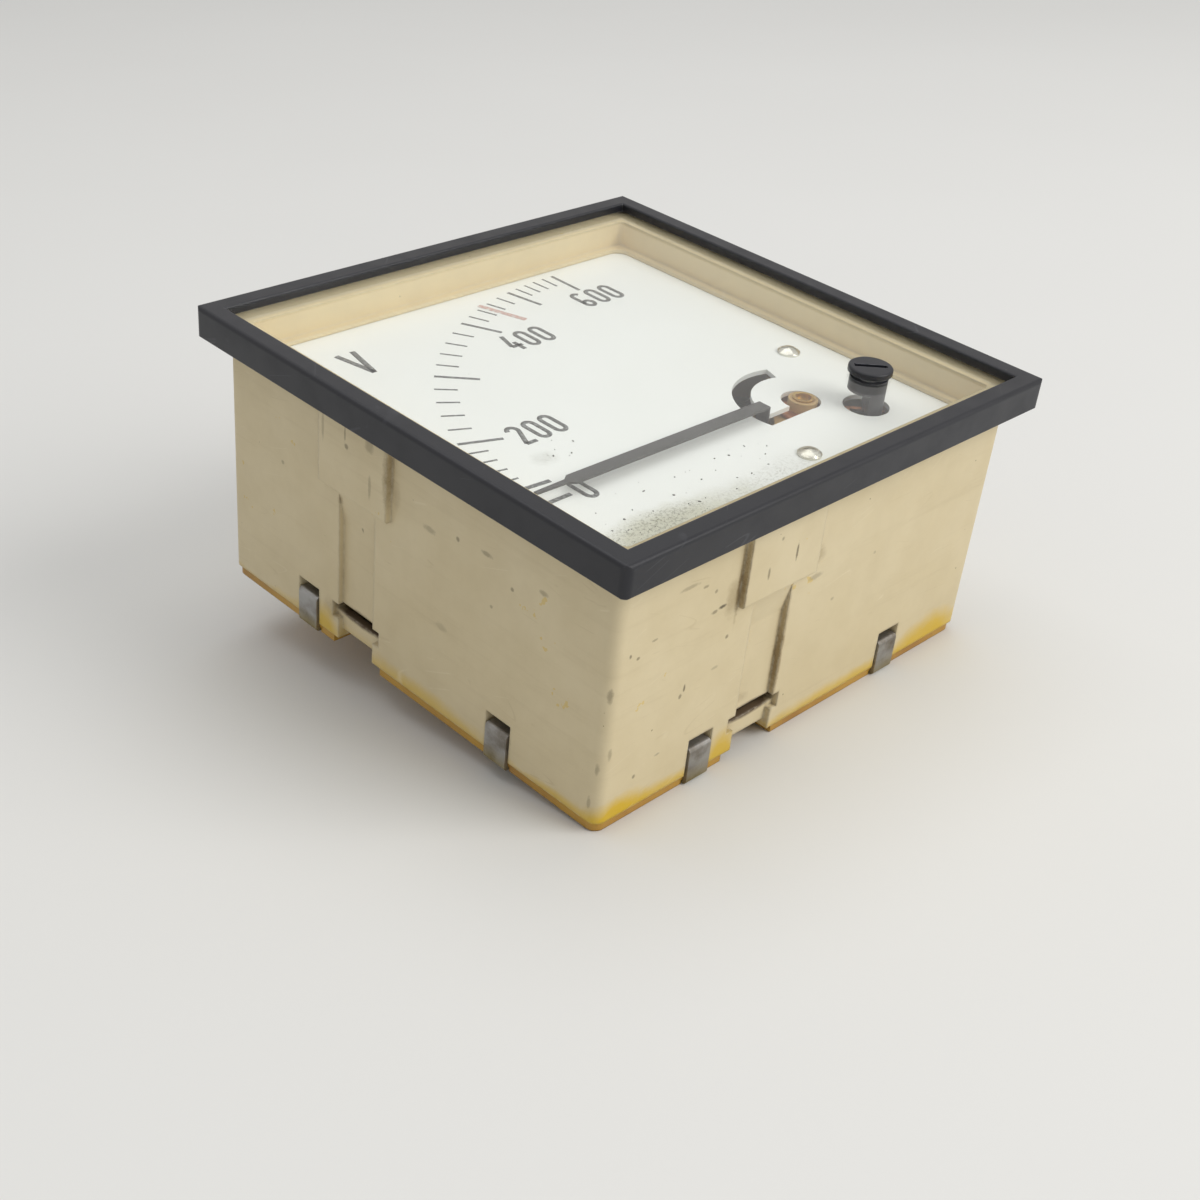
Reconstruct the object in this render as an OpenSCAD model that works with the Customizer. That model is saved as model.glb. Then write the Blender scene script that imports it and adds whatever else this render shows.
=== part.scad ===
// Square panel voltmeter: moving iron movement with a 90 degree quadrant scale.
// It lies on its back. +Z points out of the dial, +X to the dial's right, +Y to its top.
// The origin is the centre of the panel seat, the rear face of the bezel.
// All sizes are in millimetres and all angles in degrees.

/* [Bezel and window] */
// Outside width of the square bezel
bezel_w = 96; // [95:0.5:97]
// Height of the bezel from the panel seat to its front
bezel_h = 5.1; // [4.8:0.1:5.6]
// Width of the bezel's front rim
rim_w = 3.5; // [3:0.1:3.8]
// Radius of the bezel's upright corners
bezel_r = 1.4; // [1:0.1:2]
// Depth of the window pane below the bezel's front
pane_sink = 1.5; // [1.3:0.1:1.8]
// Thickness of the window pane
pane_t = 2; // [1.8:0.1:2.2]

/* [Housing] */
// Outside width of the square housing
case_w = 88.8; // [88.4:0.1:89.2]
// Depth of the housing behind the panel seat
case_d = 41.9; // [41:0.1:44]
// Thickness of the housing's walls
wall = 2.6; // [2.4:0.1:2.8]
// Radius of the housing's upright corners
case_r = 1.8; // [1.2:0.1:2.4]
// Thickness of the rear plate
base_t = 1.7; // [1.6:0.1:2]
// Width of the rear plate
base_w = 88; // [87.6:0.1:88]

/* [Clamp slots] */
// Distance of each clamp slot from the middle of its side
slot_x = 11; // [10:0.5:12]
// Width of the raised pad above a clamp slot
pad_w = 16.4; // [15:0.1:17.5]
// How far a pad stands proud of the housing
pad_proud = 1.2; // [1:0.1:1.6]
// Depth of a pad's lower end behind the panel seat
pad_end = 14; // [12:0.1:15]
// Width of the clamp channel
channel_w = 8.7; // [8:0.1:9.5]
// Depth of the clamp channel in the wall
channel_d = 1; // [0.8:0.1:1.9]
// Width of the cross arm of the T slot
tee_w = 11.8; // [11:0.1:12.6]

/* [Retaining clips] */
// Distance of each clip from the middle of its side
clip_x = 23.1; // [22:0.1:24]
// Width of a clip
clip_w = 4.7; // [4:0.1:5]
// Thickness of the clip's spring strip
clip_t = 0.7; // [0.6:0.05:0.75]

/* [Dial] */
// Width of the dial plate
dial_w = 82.6; // [81:0.1:83]
// Thickness of the dial plate
dial_t = 0.8; // [0.6:0.1:0.8]
// Depth of the dial's face behind the panel seat
dial_z = 3.6; // [3.4:0.1:4]
// Width of the opening inside the lip that frames the dial
lip_w = 80.6; // [80:0.1:81]
// Distance of the pointer's axis from the dial's centre, right and down
pivot_xy = 21; // [20.5:0.1:21.5]
// Distance of the zero adjuster's axis from the dial's centre, right and down
adjuster_xy = 28; // [27.6:0.1:28.4]
// Outer radius of the scale marks
mark_r = 59.5; // [58:0.1:60]
// Voltage at the end of the scale
full_scale = 600; // [600]
// Angle from zero at each hundred volts
scale_deg = [0, 5, 20.2, 42.2, 62.8, 78.6, 90];

/* [Movement] */
// Angle at which the pointer rests above the zero mark
rest_deg = 0.8; // [0:0.1:1.5]
// Length of the pointer from its axis to its tip
pointer_l = 58.6; // [54:0.1:59]
// Width of the pointer's blade
blade_w = 2.4; // [2:0.1:3]
// Radius of the coil's outer flanges
coil_r = 16.4; // [14:0.1:16.5]
// Radius of the spindle
spindle_r = 0.5; // [0.4:0.05:0.6]
// Throw of the zero adjuster's pin
pin_throw = 1.6; // [1.2:0.1:1.8]

/* [Terminals] */
// Distance between the two terminal studs
stud_pitch = 40; // [36:1:44]
// Height of the studs above the dial's centre
stud_y = 26; // [22:1:30]
// Radius of a stud's free end
stud_r = 2; // [2]
// Length of a stud behind the rear plate
stud_l = 9; // [9:0.5:10]

/* [Hidden] */
$fn = 64;
eps = 0.01;

cream = "#d6c8a2";
near_black = "#2a2b30";
amber = "#b8802c";
steel = "#a9acb0";
nickel = "#c9c7bf";
brass = "#c2a35c";
copper = "#b0643a";
tan_plastic = "#a98d5f";
dial_white = "#eceeea";
ink = "#4a4c4d";

half_case = case_w/2;
pane_top = bezel_h - pane_sink;
pane_low = pane_top - pane_t;
flange_w = 91.8;
flange_low = pane_low - 1.1;
pocket = flange_w/2 + 0.2;
base_top = -case_d;
base_low = base_top - base_t;
clip_gap = 0.3;
sill_z = base_top + 4.2;
clip_seat = clip_t/2;

pivot = [pivot_xy, -pivot_xy];
adjuster = [adjuster_xy, -adjuster_xy];
fork_dir = -45;
fork_r = norm(adjuster - pivot);
dial_low = -dial_z - dial_t;
leg_xy = [[33.1, -7.8], [7.2, -33.7]];
foot_step = 6.5*[cos(135), sin(135)];
leg_r = 3.2;
beam_low = -8;
beam_top = -5.6;
boss_r = 2.45;
jewel_r = 1.8;
neck_r = 2.1;
cup_top = -18.4;
cup_r = coil_r + 1.6;
cup_floor = base_top + 3;
box_top = -12.4;
box_ends = [-105, 14];
lid_t = 0.5;
sheet_t = 0.35;
arm_z = -10.1;
blade_z = -1.95;
riser_r = 9.9;
lever_z = -5.4;
lever_t = 0.4;
tab_r = 6.2;
spring_z = -9;
spring_h = 0.5;
pin_r = 1.15;
washer_t = 0.8;
jam_t = 2.2;
engaged_r = 1.77;
board_mid = [-21, -16];
board_size = [34, 40];
board_z = -33.6;
board_t = 1.6;
spacer_xy = [[-35.4, -33.4], [-6.6, 1.4]];

function polar(r, a) = [r*cos(a), r*sin(a)];
function arc(c, r, a0, a1, n = 6) = [for (i = [0:n]) c + polar(r, a0 + (a1 - a0)*i/n)];
function scale_angle(v) = let(i = min(5, floor(v/100))) 180 - lerp(scale_deg[i], scale_deg[i + 1], v/100 - i);
function lerp(a, b, t) = a + (b - a)*t;
function unit(v) = v/norm(v);

module rounded(w, r) {
    square([w - 2*r, w], center = true);
    square([w, w - 2*r], center = true);
    for (x = [-1, 1], y = [-1, 1]) translate([x, y]*(w/2 - r)) circle(r);
}

module slab(w, r, z0, z1) {
    translate([0, 0, z0]) linear_extrude(z1 - z0) rounded(w, r);
}

module post(xy, r, z0, z1) {
    translate([xy.x, xy.y, z0]) cylinder(h = z1 - z0, r = r);
}

module brick(x0, x1, y0, y1, z0, z1) {
    translate([x0, y0, z0]) cube([x1 - x0, y1 - y0, z1 - z0]);
}

// A profile drawn in (y, z), extruded along x from the middle x by w both ways
module along_x(x, w) {
    translate([x - w/2, 0, 0]) rotate([90, 0, 90]) linear_extrude(w) children();
}

// The housing's four sides are alike: each is the -Y side turned by a quarter
module each_side() {
    for (a = [0:90:270]) rotate(a) children();
}

module ring_part(r0, r1, z0, z1, a0, a1) {
    translate([0, 0, z0]) rotate(a0)
        rotate_extrude(angle = a1 - a0) translate([r0, 0]) square([r1 - r0, z1 - z0]);
}

module hex(xy, across, z0, z1) {
    translate([xy.x, xy.y, z0]) cylinder(h = z1 - z0, r = across/sqrt(3), $fn = 6);
}

// Cheese head screw pointing down, with its head's underside at z = 0
module screw(r, l, head_r, head_h) {
    difference() {
        union() {
            translate([0, 0, -l]) cylinder(h = l + eps, r = r);
            cylinder(h = head_h, r = head_r);
        }
        translate([-head_r - 1, -0.35, head_h*0.45]) cube([2*head_r + 2, 0.7, head_h]);
    }
}

// ---- Front ----

module bezel_profile() {
    inner = bezel_w/2 - rim_w;
    out = bezel_w/2;
    polygon(concat(
        [[-pocket, 0], [-(out - 0.15), 0], [-out, 0.15]],
        arc([-(out - 0.7), bezel_h - 0.7], 0.7, 180, 90),
        arc([-(inner + 0.4), bezel_h - 0.4], 0.4, 90, 0, 4),
        [[-inner, pane_top], [-pocket, pane_top]]
    ));
}

module bezel() {
    color(near_black) {
        intersection() {
            slab(bezel_w, bezel_r, -1, bezel_h + 1);
            union() each_side() intersection() {
                along_x(0, bezel_w + 2) bezel_profile();
                translate([0, 0, -1]) linear_extrude(bezel_h + 2)
                    polygon([[0, 0], [-bezel_w, -bezel_w], [bezel_w, -bezel_w]]);
            }
        }
        each_side() for (x = [-34, 34])
            along_x(x, 6) polygon([[-pocket - eps, 0], [-pocket + 0.45, 0], [-pocket - eps, flange_low - 0.05]]);
    }
}

module window_pane() {
    color("#dfe8e6", 0.35) difference() {
        slab(flange_w - 0.4, 0.8, pane_low, pane_top);
        post(adjuster, neck_r + 0.1, pane_low - 1, pane_top + 1);
    }
}

// ---- Housing ----

module clamp_pad() {
    y = half_case + pad_proud;
    along_x(-slot_x, pad_w) polygon([
        [-half_case + 1, pane_low], [-y, pane_low], [-y, -pad_end + 0.3],
        [-y + 0.3, -pad_end], [-half_case + 1, -pad_end]
    ]);
}

// Channel with a ramped upper end, T shaped slot through the wall and open foot
module clamp_slot() {
    ramp_top = -pad_end - 0.9;
    inner = -half_case + channel_d;
    through = -half_case + wall + 1;
    along_x(-slot_x, channel_w) polygon([
        [-half_case - 1, ramp_top + 1], [inner - channel_d, ramp_top],
        [inner, ramp_top - 5], [inner, base_top - 1], [-half_case - 1, base_top - 1]
    ]);
    brick(-slot_x - tee_w/2, -slot_x + tee_w/2, -half_case - 1, inner, base_top + 3.7, base_top + 6.5);
    brick(-slot_x - tee_w/2, -slot_x + tee_w/2, -half_case - 1, through, base_top + 4.6, base_top + 6.5);
    brick(-slot_x - channel_w/2, -slot_x + channel_w/2, -half_case - 1, through, base_top - 1, base_top + 1.5);
}

// Shallow seat for a clip's strip, with a window through the wall above its sill
module clip_seat_cut() {
    w = clip_w + 2*clip_gap;
    for (x = [-clip_x, clip_x]) {
        brick(x - w/2, x + w/2, -half_case - 1, -half_case + clip_seat, base_top - 1, base_top + 6.7);
        brick(x - w/2, x + w/2, -half_case - 1, -half_case + wall + 1, sill_z, base_top + 6.7);
    }
}

// Lip inside the walls that frames the dial from the front
module dial_lip() {
    difference() {
        slab(case_w - 2*wall + 1, 1.5, -dial_z + 0.05, -dial_z + 0.7);
        slab(lip_w, 2.5, -dial_z - 1, -dial_z + 2);
    }
}

module housing() {
    color(cream) {
        difference() {
            union() {
                slab(case_w, case_r, base_top, pane_low);
                slab(flange_w, case_r + 0.6, flange_low, pane_low);
                each_side() clamp_pad();
            }
            slab(case_w - 2*wall, 1, base_top - 1, pane_low + 1);
            each_side() clamp_slot();
            each_side() clip_seat_cut();
        }
        dial_lip();
    }
}

module base_plate() {
    w = clip_w + 2*clip_gap;
    color(amber) difference() {
        slab(base_w, case_r, base_low, base_top);
        each_side() {
            brick(-slot_x - tee_w/2, -slot_x + tee_w/2, -half_case - 1, -half_case + 4, base_low - 1, base_top + 1);
            for (x = [-clip_x, clip_x])
                brick(x - w/2, x + w/2, -half_case - 1, -half_case + 5, base_low - 1, base_low + clip_t);
        }
        for (x = [-1, 1]) post([x*stud_pitch/2, stud_y], stud_r + 0.1, base_low - 1, base_top + 1);
        post(pivot, 4.6, base_low - 1, base_top + 1);
        for (xy = cup_screw_xy()) post(xy, 1.6, base_low - 1, base_top + 1);
        for (xy = spacer_xy) post(xy, 1.6, base_low - 1, base_top + 1);
    }
}

// One spring clip at the middle of the -Y side: a strip with a hook at each end
module clip() {
    out = -half_case - clip_seat;
    into = -half_case + wall + 0.7;
    top = sill_z + clip_t;
    color(steel) along_x(0, clip_w) polygon(concat(
        [[into, sill_z], [into, top]],
        arc([out + clip_t, top - clip_t], clip_t, 90, 180, 4),
        arc([out + clip_t, base_low + clip_t], clip_t, 180, 270, 4),
        [[into + 1, base_low], [into + 1, base_low + clip_t], [out + clip_t, base_low + clip_t], [out + clip_t, sill_z]]
    ));
}

module clip_pair(turn) {
    rotate(turn) for (x = [-clip_x, clip_x]) translate([x, 0, 0]) clip();
}

module clips_bottom() { clip_pair(0); }
module clips_right() { clip_pair(90); }
module clips_top() { clip_pair(180); }
module clips_left() { clip_pair(270); }

// ---- Dial ----

// Opening for the bearing boss, the straight way in for the pointer's riser, and its arc
module pointer_opening() {
    z0 = dial_low - 1;
    z1 = -dial_z + 1;
    slot_in = 8.5;
    slot_out = 11.6;
    slot_end = 194.6;
    post(pivot + [-0.3, 0.2], 3.3, z0, z1);
    translate(pivot) {
        ring_part(slot_in, slot_out, z0, z1, 71, slot_end);
        brick(slot_out*cos(slot_end), 0, -3, -0.2, z0, z1);
    }
}

module dial_plate() {
    color(dial_white) difference() {
        slab(dial_w, 1, dial_low, -dial_z);
        pointer_opening();
        post(adjuster + [0.3, -0.3], 3.85, dial_low - 1, -dial_z + 1);
        for (xy = leg_xy) post(xy, 1.6, dial_low - 1, -dial_z + 1);
    }
}

module mark(angle, r0, r1, w) {
    translate([pivot.x, pivot.y, -dial_z]) rotate(angle)
        translate([r0, -w/2, 0]) cube([r1 - r0, w, 0.06]);
}

module scale_marks() {
    color(ink) {
        for (v = [0:100:full_scale]) mark(scale_angle(v), mark_r - 7.3, mark_r, v < 150 ? 0.8 : 0.6);
        for (v = [120:20:full_scale]) if (v % 100 != 0) mark(scale_angle(v), mark_r - 3.7, mark_r, 0.35);
    }
}

module red_index() {
    color("#c07a66") mark(scale_angle(450), mark_r - 8.6, mark_r + 0.7, 1);
}

module dial_screws() {
    head_r = 1.95;
    head_h = 1.1;
    color(nickel) for (xy = leg_xy) translate([xy.x, xy.y, -dial_z]) difference() {
        union() {
            translate([0, 0, -7]) cylinder(h = 7 + eps, r = 1.25);
            intersection() {
                cylinder(h = head_h, r = head_r);
                translate([0, 0, head_h - 2.91]) sphere(2.91);
            }
        }
        rotate(-45) translate([-head_r - 1, -0.25, head_h - 0.4]) cube([2*head_r + 2, 0.5, head_h]);
    }
}

// ---- Moving system: everything here turns with the spindle ----

// Puts a shape drawn for a pointer along +X at the pointer's rest angle
module at_rest() {
    translate(pivot) rotate(180 - rest_deg) children();
}

// One stamped sheet: hub and lower arm under the dial, riser through it, blade over it
module pointer() {
    blade_end = pointer_l - 7;
    color("#4b4a48") at_rest() difference() {
        union() {
            translate([0, 0, arm_z]) linear_extrude(sheet_t) {
                circle(2.4);
                translate([0, -blade_w/2]) square([riser_r + sheet_t/2, blade_w]);
                for (a = [135, 225]) rotate(a) translate([0, -0.6]) square([7.6, 1.2]);
            }
            brick(riser_r - sheet_t/2, riser_r + sheet_t/2, -blade_w/2, blade_w/2, arm_z, blade_z + sheet_t);
            translate([0, 0, blade_z]) linear_extrude(sheet_t) polygon([
                [riser_r - sheet_t/2, -blade_w/2], [blade_end, -blade_w/2], [blade_end + 1, -0.45],
                [pointer_l, -0.3], [pointer_l, 0.3], [blade_end + 1, 0.45],
                [blade_end, blade_w/2], [riser_r - sheet_t/2, blade_w/2]
            ]);
        }
        post([0, 0], 1.15, arm_z - 1, arm_z + 1);
    }
}

module pointer_collet() {
    color(brass) difference() {
        union() {
            post(pivot, 2.2, arm_z - 1.2, arm_z);
            post(pivot, 1.15, arm_z - 1.2, arm_z + 0.7);
        }
        post(pivot, spindle_r, arm_z - 2, arm_z + 1);
    }
}

module balance_weights() {
    color(brass) at_rest() for (a = [135, 225]) rotate(a) post([7, 0], 1.5, arm_z - 1.4, arm_z);
}

module spindle() {
    tip = 0.7;
    top = -4.4;
    foot = base_top + 1.7;
    color(steel) translate([pivot.x, pivot.y, 0]) {
        translate([0, 0, foot + tip]) cylinder(h = top - foot - 2*tip, r = spindle_r);
        translate([0, 0, top - tip]) cylinder(h = tip, r1 = spindle_r, r2 = 0.12);
        translate([0, 0, foot]) cylinder(h = tip, r1 = 0.12, r2 = spindle_r);
    }
}

// Flat spiral made of half rings about two centres, from the spindle's collar to the lever's tab
module hairspring() {
    turns = 5;
    first = 1.6;
    step = (tab_r - 0.15 - first)/(2*turns);
    strip = 0.15;
    color("#b58a4a") translate([pivot.x, pivot.y, spring_z]) rotate(fork_dir) {
        difference() {
            cylinder(h = spring_h, r = first + strip/2);
            translate([0, 0, -1]) cylinder(h = spring_h + 2, r = spindle_r);
        }
        for (k = [0:2*turns - 1]) translate([(k % 2)*step, 0, 0]) rotate(180*(k % 2))
            rotate_extrude(angle = 180)
                translate([first + k*step - strip/2, 0]) square([strip, spring_h]);
    }
}

// Thin aluminium vane that beats the air in the damping box
module damping_vane() {
    color("#c4c6c8") translate([pivot.x, pivot.y, 0]) difference() {
        union() {
            brick(0, 14.6, -0.15, 0.15, box_top - 4.6, box_top - 0.6);
            post([0, 0], 1.4, box_top - 4.4, box_top - 0.8);
        }
        post([0, 0], spindle_r, box_top - 6, box_top);
    }
}

module iron_carrier() {
    top = cup_top - 4.6;
    color(brass) translate([pivot.x, pivot.y, 0]) difference() {
        union() {
            post([0, 0], 1.3, top - 12, top);
            intersection() {
                post([0, 0], 5.19, top - 12, top);
                for (z = [top - 12, top - 1.5]) brick(0, 6, -0.6, 0.6, z, z + 1.5);
            }
        }
        post([0, 0], spindle_r, top - 13, top + 1);
    }
}

module moving_iron() {
    top = cup_top - 4.6;
    color("#7d8084") translate([pivot.x, pivot.y, 0]) ring_part(5.2, 5.7, top - 12, top, -24, 24);
}

// ---- Zero adjuster ----

// Copper lever that turns on the bearing boss; its fork holds the adjuster's pin
module zero_lever() {
    tine = 0.9;
    gap = pin_r + 0.1;
    color(copper) translate([pivot.x, pivot.y, 0]) rotate(fork_dir) {
        translate([0, 0, lever_z]) linear_extrude(lever_t) {
            difference() {
                union() {
                    circle(4.4);
                    translate([3.2, -1.2]) square([4.4, 2.4]);
                }
                circle(boss_r + 0.06);
            }
            translate([7, -gap - tine]) square([1, 2*(gap + tine)]);
            for (y = [gap, -gap - tine]) translate([7, y]) square([fork_r + pin_throw - 4.6, tine]);
        }
        brick(tab_r, tab_r + 0.4, -0.8, 0.8, spring_z, lever_z + lever_t);
    }
}

module zero_adjuster() {
    head_r = 3.65;
    head_h = 1.1;
    color(near_black) translate([adjuster.x, adjuster.y, 0]) difference() {
        union() {
            translate([0, 0, pane_top]) rotate_extrude() polygon(concat(
                [[0, 0], [head_r - 0.1, 0], [head_r, 0.1]],
                arc([head_r - 0.35, head_h - 0.35], 0.35, 0, 90, 4), [[0, head_h]]
            ));
            translate([0, 0, pane_low - 1.6]) cylinder(h = pane_t + 1.6 + eps, r = neck_r);
        }
        translate([0, 0, pane_top + head_h - 0.55]) rotate(-42) translate([-2.7, -0.5, 0]) cube([5.4, 1, 1]);
    }
}

// Round above, cut to a half round below, with the pin that works the fork
module adjuster_sleeve() {
    top = pane_low - 0.05;
    half_z = -0.7;
    foot = -4.75;
    color(near_black) translate([adjuster.x, adjuster.y, 0]) rotate(fork_dir) difference() {
        union() {
            post([0, 0], 3.15, half_z, top);
            intersection() {
                post([0, 0], 3.15, foot, half_z + eps);
                brick(0.2, 4, -4, 4, foot - 1, half_z + 1);
            }
            post([pin_throw, 0], pin_r, lever_z - 0.9, foot + 1);
        }
        post([0, 0], neck_r, pane_low - 1.6, top + 1);
    }
}

// ---- Fixed movement parts ----

module bearing_bridge() {
    mid = (leg_xy[0] + leg_xy[1])/2;
    color(tan_plastic) difference() {
        union() {
            translate([mid.x, mid.y, beam_low]) rotate(45)
                translate([-norm(leg_xy[0] - mid), -4, 0])
                    cube([2*norm(leg_xy[0] - mid), 8, beam_top - beam_low]);
            post(pivot, boss_r, beam_top - 1, -3.3);
            for (xy = leg_xy) {
                foot = xy + foot_step;
                post(xy, leg_r, cup_top, dial_low);
                post(foot, leg_r, cup_top, cup_top + 3);
                translate([xy.x, xy.y, cup_top]) rotate(135)
                    translate([0, -2.6, 0]) cube([norm(foot_step), 5.2, 3]);
            }
        }
        post(pivot, jewel_r, beam_low - 1, 0);
        for (xy = leg_xy) {
            post(xy, 1.3, dial_low - 7, dial_low + 1);
            post(xy + foot_step, 1.4, cup_top - 1, cup_top + 4);
        }
    }
}

module bridge_screws() {
    color(steel) for (xy = leg_xy) translate([xy.x, xy.y, cup_top + 3])
        translate(foot_step) screw(1.25, 9, 2.4, 1.7);
}

// Hollow brass screw that carries the front bearing
module front_jewel_screw() {
    top = -3;
    color(brass) difference() {
        post(pivot, jewel_r, -6.4, top);
        post(pivot, 1.3, top - 0.9, top + 1);
        post(pivot, spindle_r + 0.05, -7, -4.3);
    }
}

// Sector chamber open towards the spindle
module damping_box() {
    floor_z = box_top - 5.2;
    color(tan_plastic) translate(pivot) {
        difference() {
            post([0, 0], 14.6, cup_top, floor_z);
            post([0, 0], 2.5, cup_top - 1, floor_z + 1);
        }
        rotate(box_ends[0] - 4) rotate_extrude(angle = box_ends[1] - box_ends[0] + 8) polygon([
            [14, cup_top], [16.2, cup_top], [16.2, box_top], [15.2, box_top], [15.2, floor_z], [14, floor_z]
        ]);
        rotate(box_ends[0]) brick(3.4, 15.7, -1, 0, floor_z - 0.4, box_top);
        rotate(box_ends[1]) brick(3.4, 15.7, 0, 1, floor_z - 0.4, box_top);
    }
}

module damping_lid() {
    color("#b9a27a") translate(pivot)
        ring_part(3, 16.4, box_top, box_top + lid_t, box_ends[0] - 5, box_ends[1] + 5);
}

function cup_screw_xy() = [for (a = [90, 210, 330]) pivot + polar(coil_r - 4, a)];

module movement_cup() {
    color("#5d4a34") difference() {
        union() {
            post(pivot, cup_r, base_top, cup_top);
            for (xy = leg_xy) {
                post(xy, leg_r + 0.4, base_top, cup_top);
                post(xy + foot_step, leg_r + 0.2, base_top + 10, cup_top);
            }
        }
        post(pivot, coil_r + 0.3, cup_floor, cup_top + 1);
        post(pivot, 1.9, base_top - 1, cup_floor + 1);
        for (xy = leg_xy) post(xy + foot_step, 1.25, cup_top - 9.5, cup_top + 1);
        for (xy = cup_screw_xy()) post(xy, 1.25, base_top - 1, cup_floor - 0.4);
    }
}

module cup_screws() {
    color(steel) for (xy = cup_screw_xy()) translate([xy.x, xy.y, base_low]) rotate([180, 0, 0])
        screw(1.25, base_t + 2.4, 2.6, 1.8);
}

module coil_bobbin() {
    color("#cfc9b8") difference() {
        union() {
            for (z = [cup_floor, cup_top - 1]) post(pivot, coil_r, z, z + 1);
            post(pivot, 8.2, cup_floor, cup_top);
        }
        post(pivot, 7.4, cup_floor - 1, cup_top + 1);
    }
}

module coil_winding() {
    color(copper) difference() {
        post(pivot, coil_r - 0.8, cup_floor + 1, cup_top - 1);
        post(pivot, 8.2, cup_floor, cup_top);
    }
}

// Curved sheet whose top and bottom edges close in along the moving iron's way
module fixed_iron() {
    top = cup_top - 3;
    low = top - 15;
    color("#6d7074") translate(pivot) difference() {
        ring_part(6.8, 7.38, low, top, -70, 40);
        rotate(-70) translate([0, 0, top]) rotate([-24, 0, 0]) brick(0, 9, -9, 0, 0, 12);
        rotate(-70) translate([0, 0, low]) rotate([24, 0, 0]) brick(0, 9, -9, 0, -12, 0);
    }
}

module rear_jewel_screw() {
    color(brass) difference() {
        post(pivot, 1.9, base_low - 0.1, cup_floor + 0.6);
        post(pivot, spindle_r + 0.05, base_top + 1.6, cup_floor + 1);
        translate([pivot.x - 3, pivot.y - 0.3, base_low - 1]) cube([6, 0.6, 1.6]);
    }
}

module rear_lock_nut() {
    color(brass) difference() {
        hex(pivot, 7, base_low + 0.2, base_top);
        post(pivot, 1.9, base_low, base_top + 1);
    }
}

// ---- Terminals ----

module at_studs() {
    for (x = [-1, 1]) translate([x*stud_pitch/2, stud_y, 0]) children();
}

module terminal_studs() {
    tip = base_low - stud_l;
    free_top = base_low - 2*washer_t - jam_t - 3.2;
    color(brass) at_studs() {
        hex([0, 0], 8, base_top + 0.5, base_top + 3);
        post([0, 0], engaged_r, free_top - eps, base_top + 0.6);
        post([0, 0], stud_r, tip + 0.4, free_top);
        translate([0, 0, tip]) cylinder(h = 0.4, r1 = stud_r - 0.4, r2 = stud_r);
    }
}

// A washer or nut on each stud, z0 below the rear plate
module on_studs(r, z, t, flats = false) {
    at_studs() difference() {
        if (flats) hex([0, 0], 2*r, base_low - z - t, base_low - z);
        else post([0, 0], r, base_low - z - t, base_low - z);
        post([0, 0], engaged_r, base_low - z - t - 1, base_low - z + 1);
    }
}

module solder_lugs() {
    color(nickel) at_studs() difference() {
        union() {
            post([0, 0], 4, base_top, base_top + 0.5);
            brick(-1.4, 1.4, -9, 0, base_top, base_top + 0.5);
        }
        post([0, 0], engaged_r, base_top - 1, base_top + 1);
        post([0, -7.4], 0.7, base_top - 1, base_top + 1);
    }
}

module fixing_washers() { color(nickel) on_studs(4.5, 0, washer_t); }
module fixing_nuts() { color(brass) on_studs(3.5, washer_t, jam_t, true); }
module contact_washers() { color(nickel) on_studs(4.5, washer_t + jam_t, washer_t); }
module terminal_nuts() { color(brass) on_studs(3.5, 2*washer_t + jam_t, 3.2, true); }

// ---- Series resistors and leads ----

module resistor_board() {
    color("#7b4a24") difference() {
        brick(board_mid.x - board_size.x/2, board_mid.x + board_size.x/2,
              board_mid.y - board_size.y/2, board_mid.y + board_size.y/2, board_z, board_z + board_t);
        for (xy = spacer_xy) post(xy, 1.3, board_z - 1, board_z + board_t + 1);
    }
}

module board_spacers() {
    color(brass) for (xy = spacer_xy) difference() {
        post(xy, 2.8, base_top, board_z);
        post(xy, 1.25, base_top - 1, board_z + 1);
    }
}

module board_screws() {
    color(steel) for (xy = spacer_xy) translate([xy.x, xy.y, 0]) {
        translate([0, 0, base_low]) rotate([180, 0, 0]) screw(1.25, base_t + 3.4, 2.4, 1.6);
        translate([0, 0, board_z + board_t]) screw(1.25, board_t + 2.5, 2.4, 1.6);
    }
}

// Four ceramic tubes with end caps and bent tails
module series_resistors() {
    r = 3.2;
    color("#b7b2a4") for (i = [0:3]) {
        y = board_mid.y - 12 + 8*i;
        z = board_z + board_t + r + 0.6;
        translate([board_mid.x - 11, y, z]) rotate([0, 90, 0]) {
            cylinder(h = 22, r = r);
            for (e = [-0.8, 19.8]) translate([0, 0, e]) cylinder(h = 3, r = r + 0.3);
            translate([0, 0, -2.5]) cylinder(h = 27, r = 0.4);
        }
        for (x = [-13.5, 13.5]) post([board_mid.x + x, y], 0.4, board_z + board_t, z);
    }
}

// A soft lead: an eight-sided tube swept through its route's points. The route never runs along "across".
module lead(route, across, r = lead_r, sides = 8) {
    n = len(route);
    rings = [for (i = [0:n - 1]) let(
        t = unit(route[min(i + 1, n - 1)] - route[max(i - 1, 0)]),
        u = unit(cross(t, across)), v = cross(t, u))
        for (k = [0:sides - 1]) route[i] + r*(cos(360*k/sides)*u + sin(360*k/sides)*v)];
    side_faces = [for (i = [0:n - 2], k = [0:sides - 1]) let(a = i*sides, b = (k + 1) % sides)
        each [[a + k, a + sides + k, a + sides + b], [a + k, a + sides + b, a + b]]];
    polyhedron(rings, concat(
        [[for (k = [0:sides - 1]) k]], side_faces, [[for (k = [sides - 1:-1:0]) (n - 1)*sides + k]]
    ));
}

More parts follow.
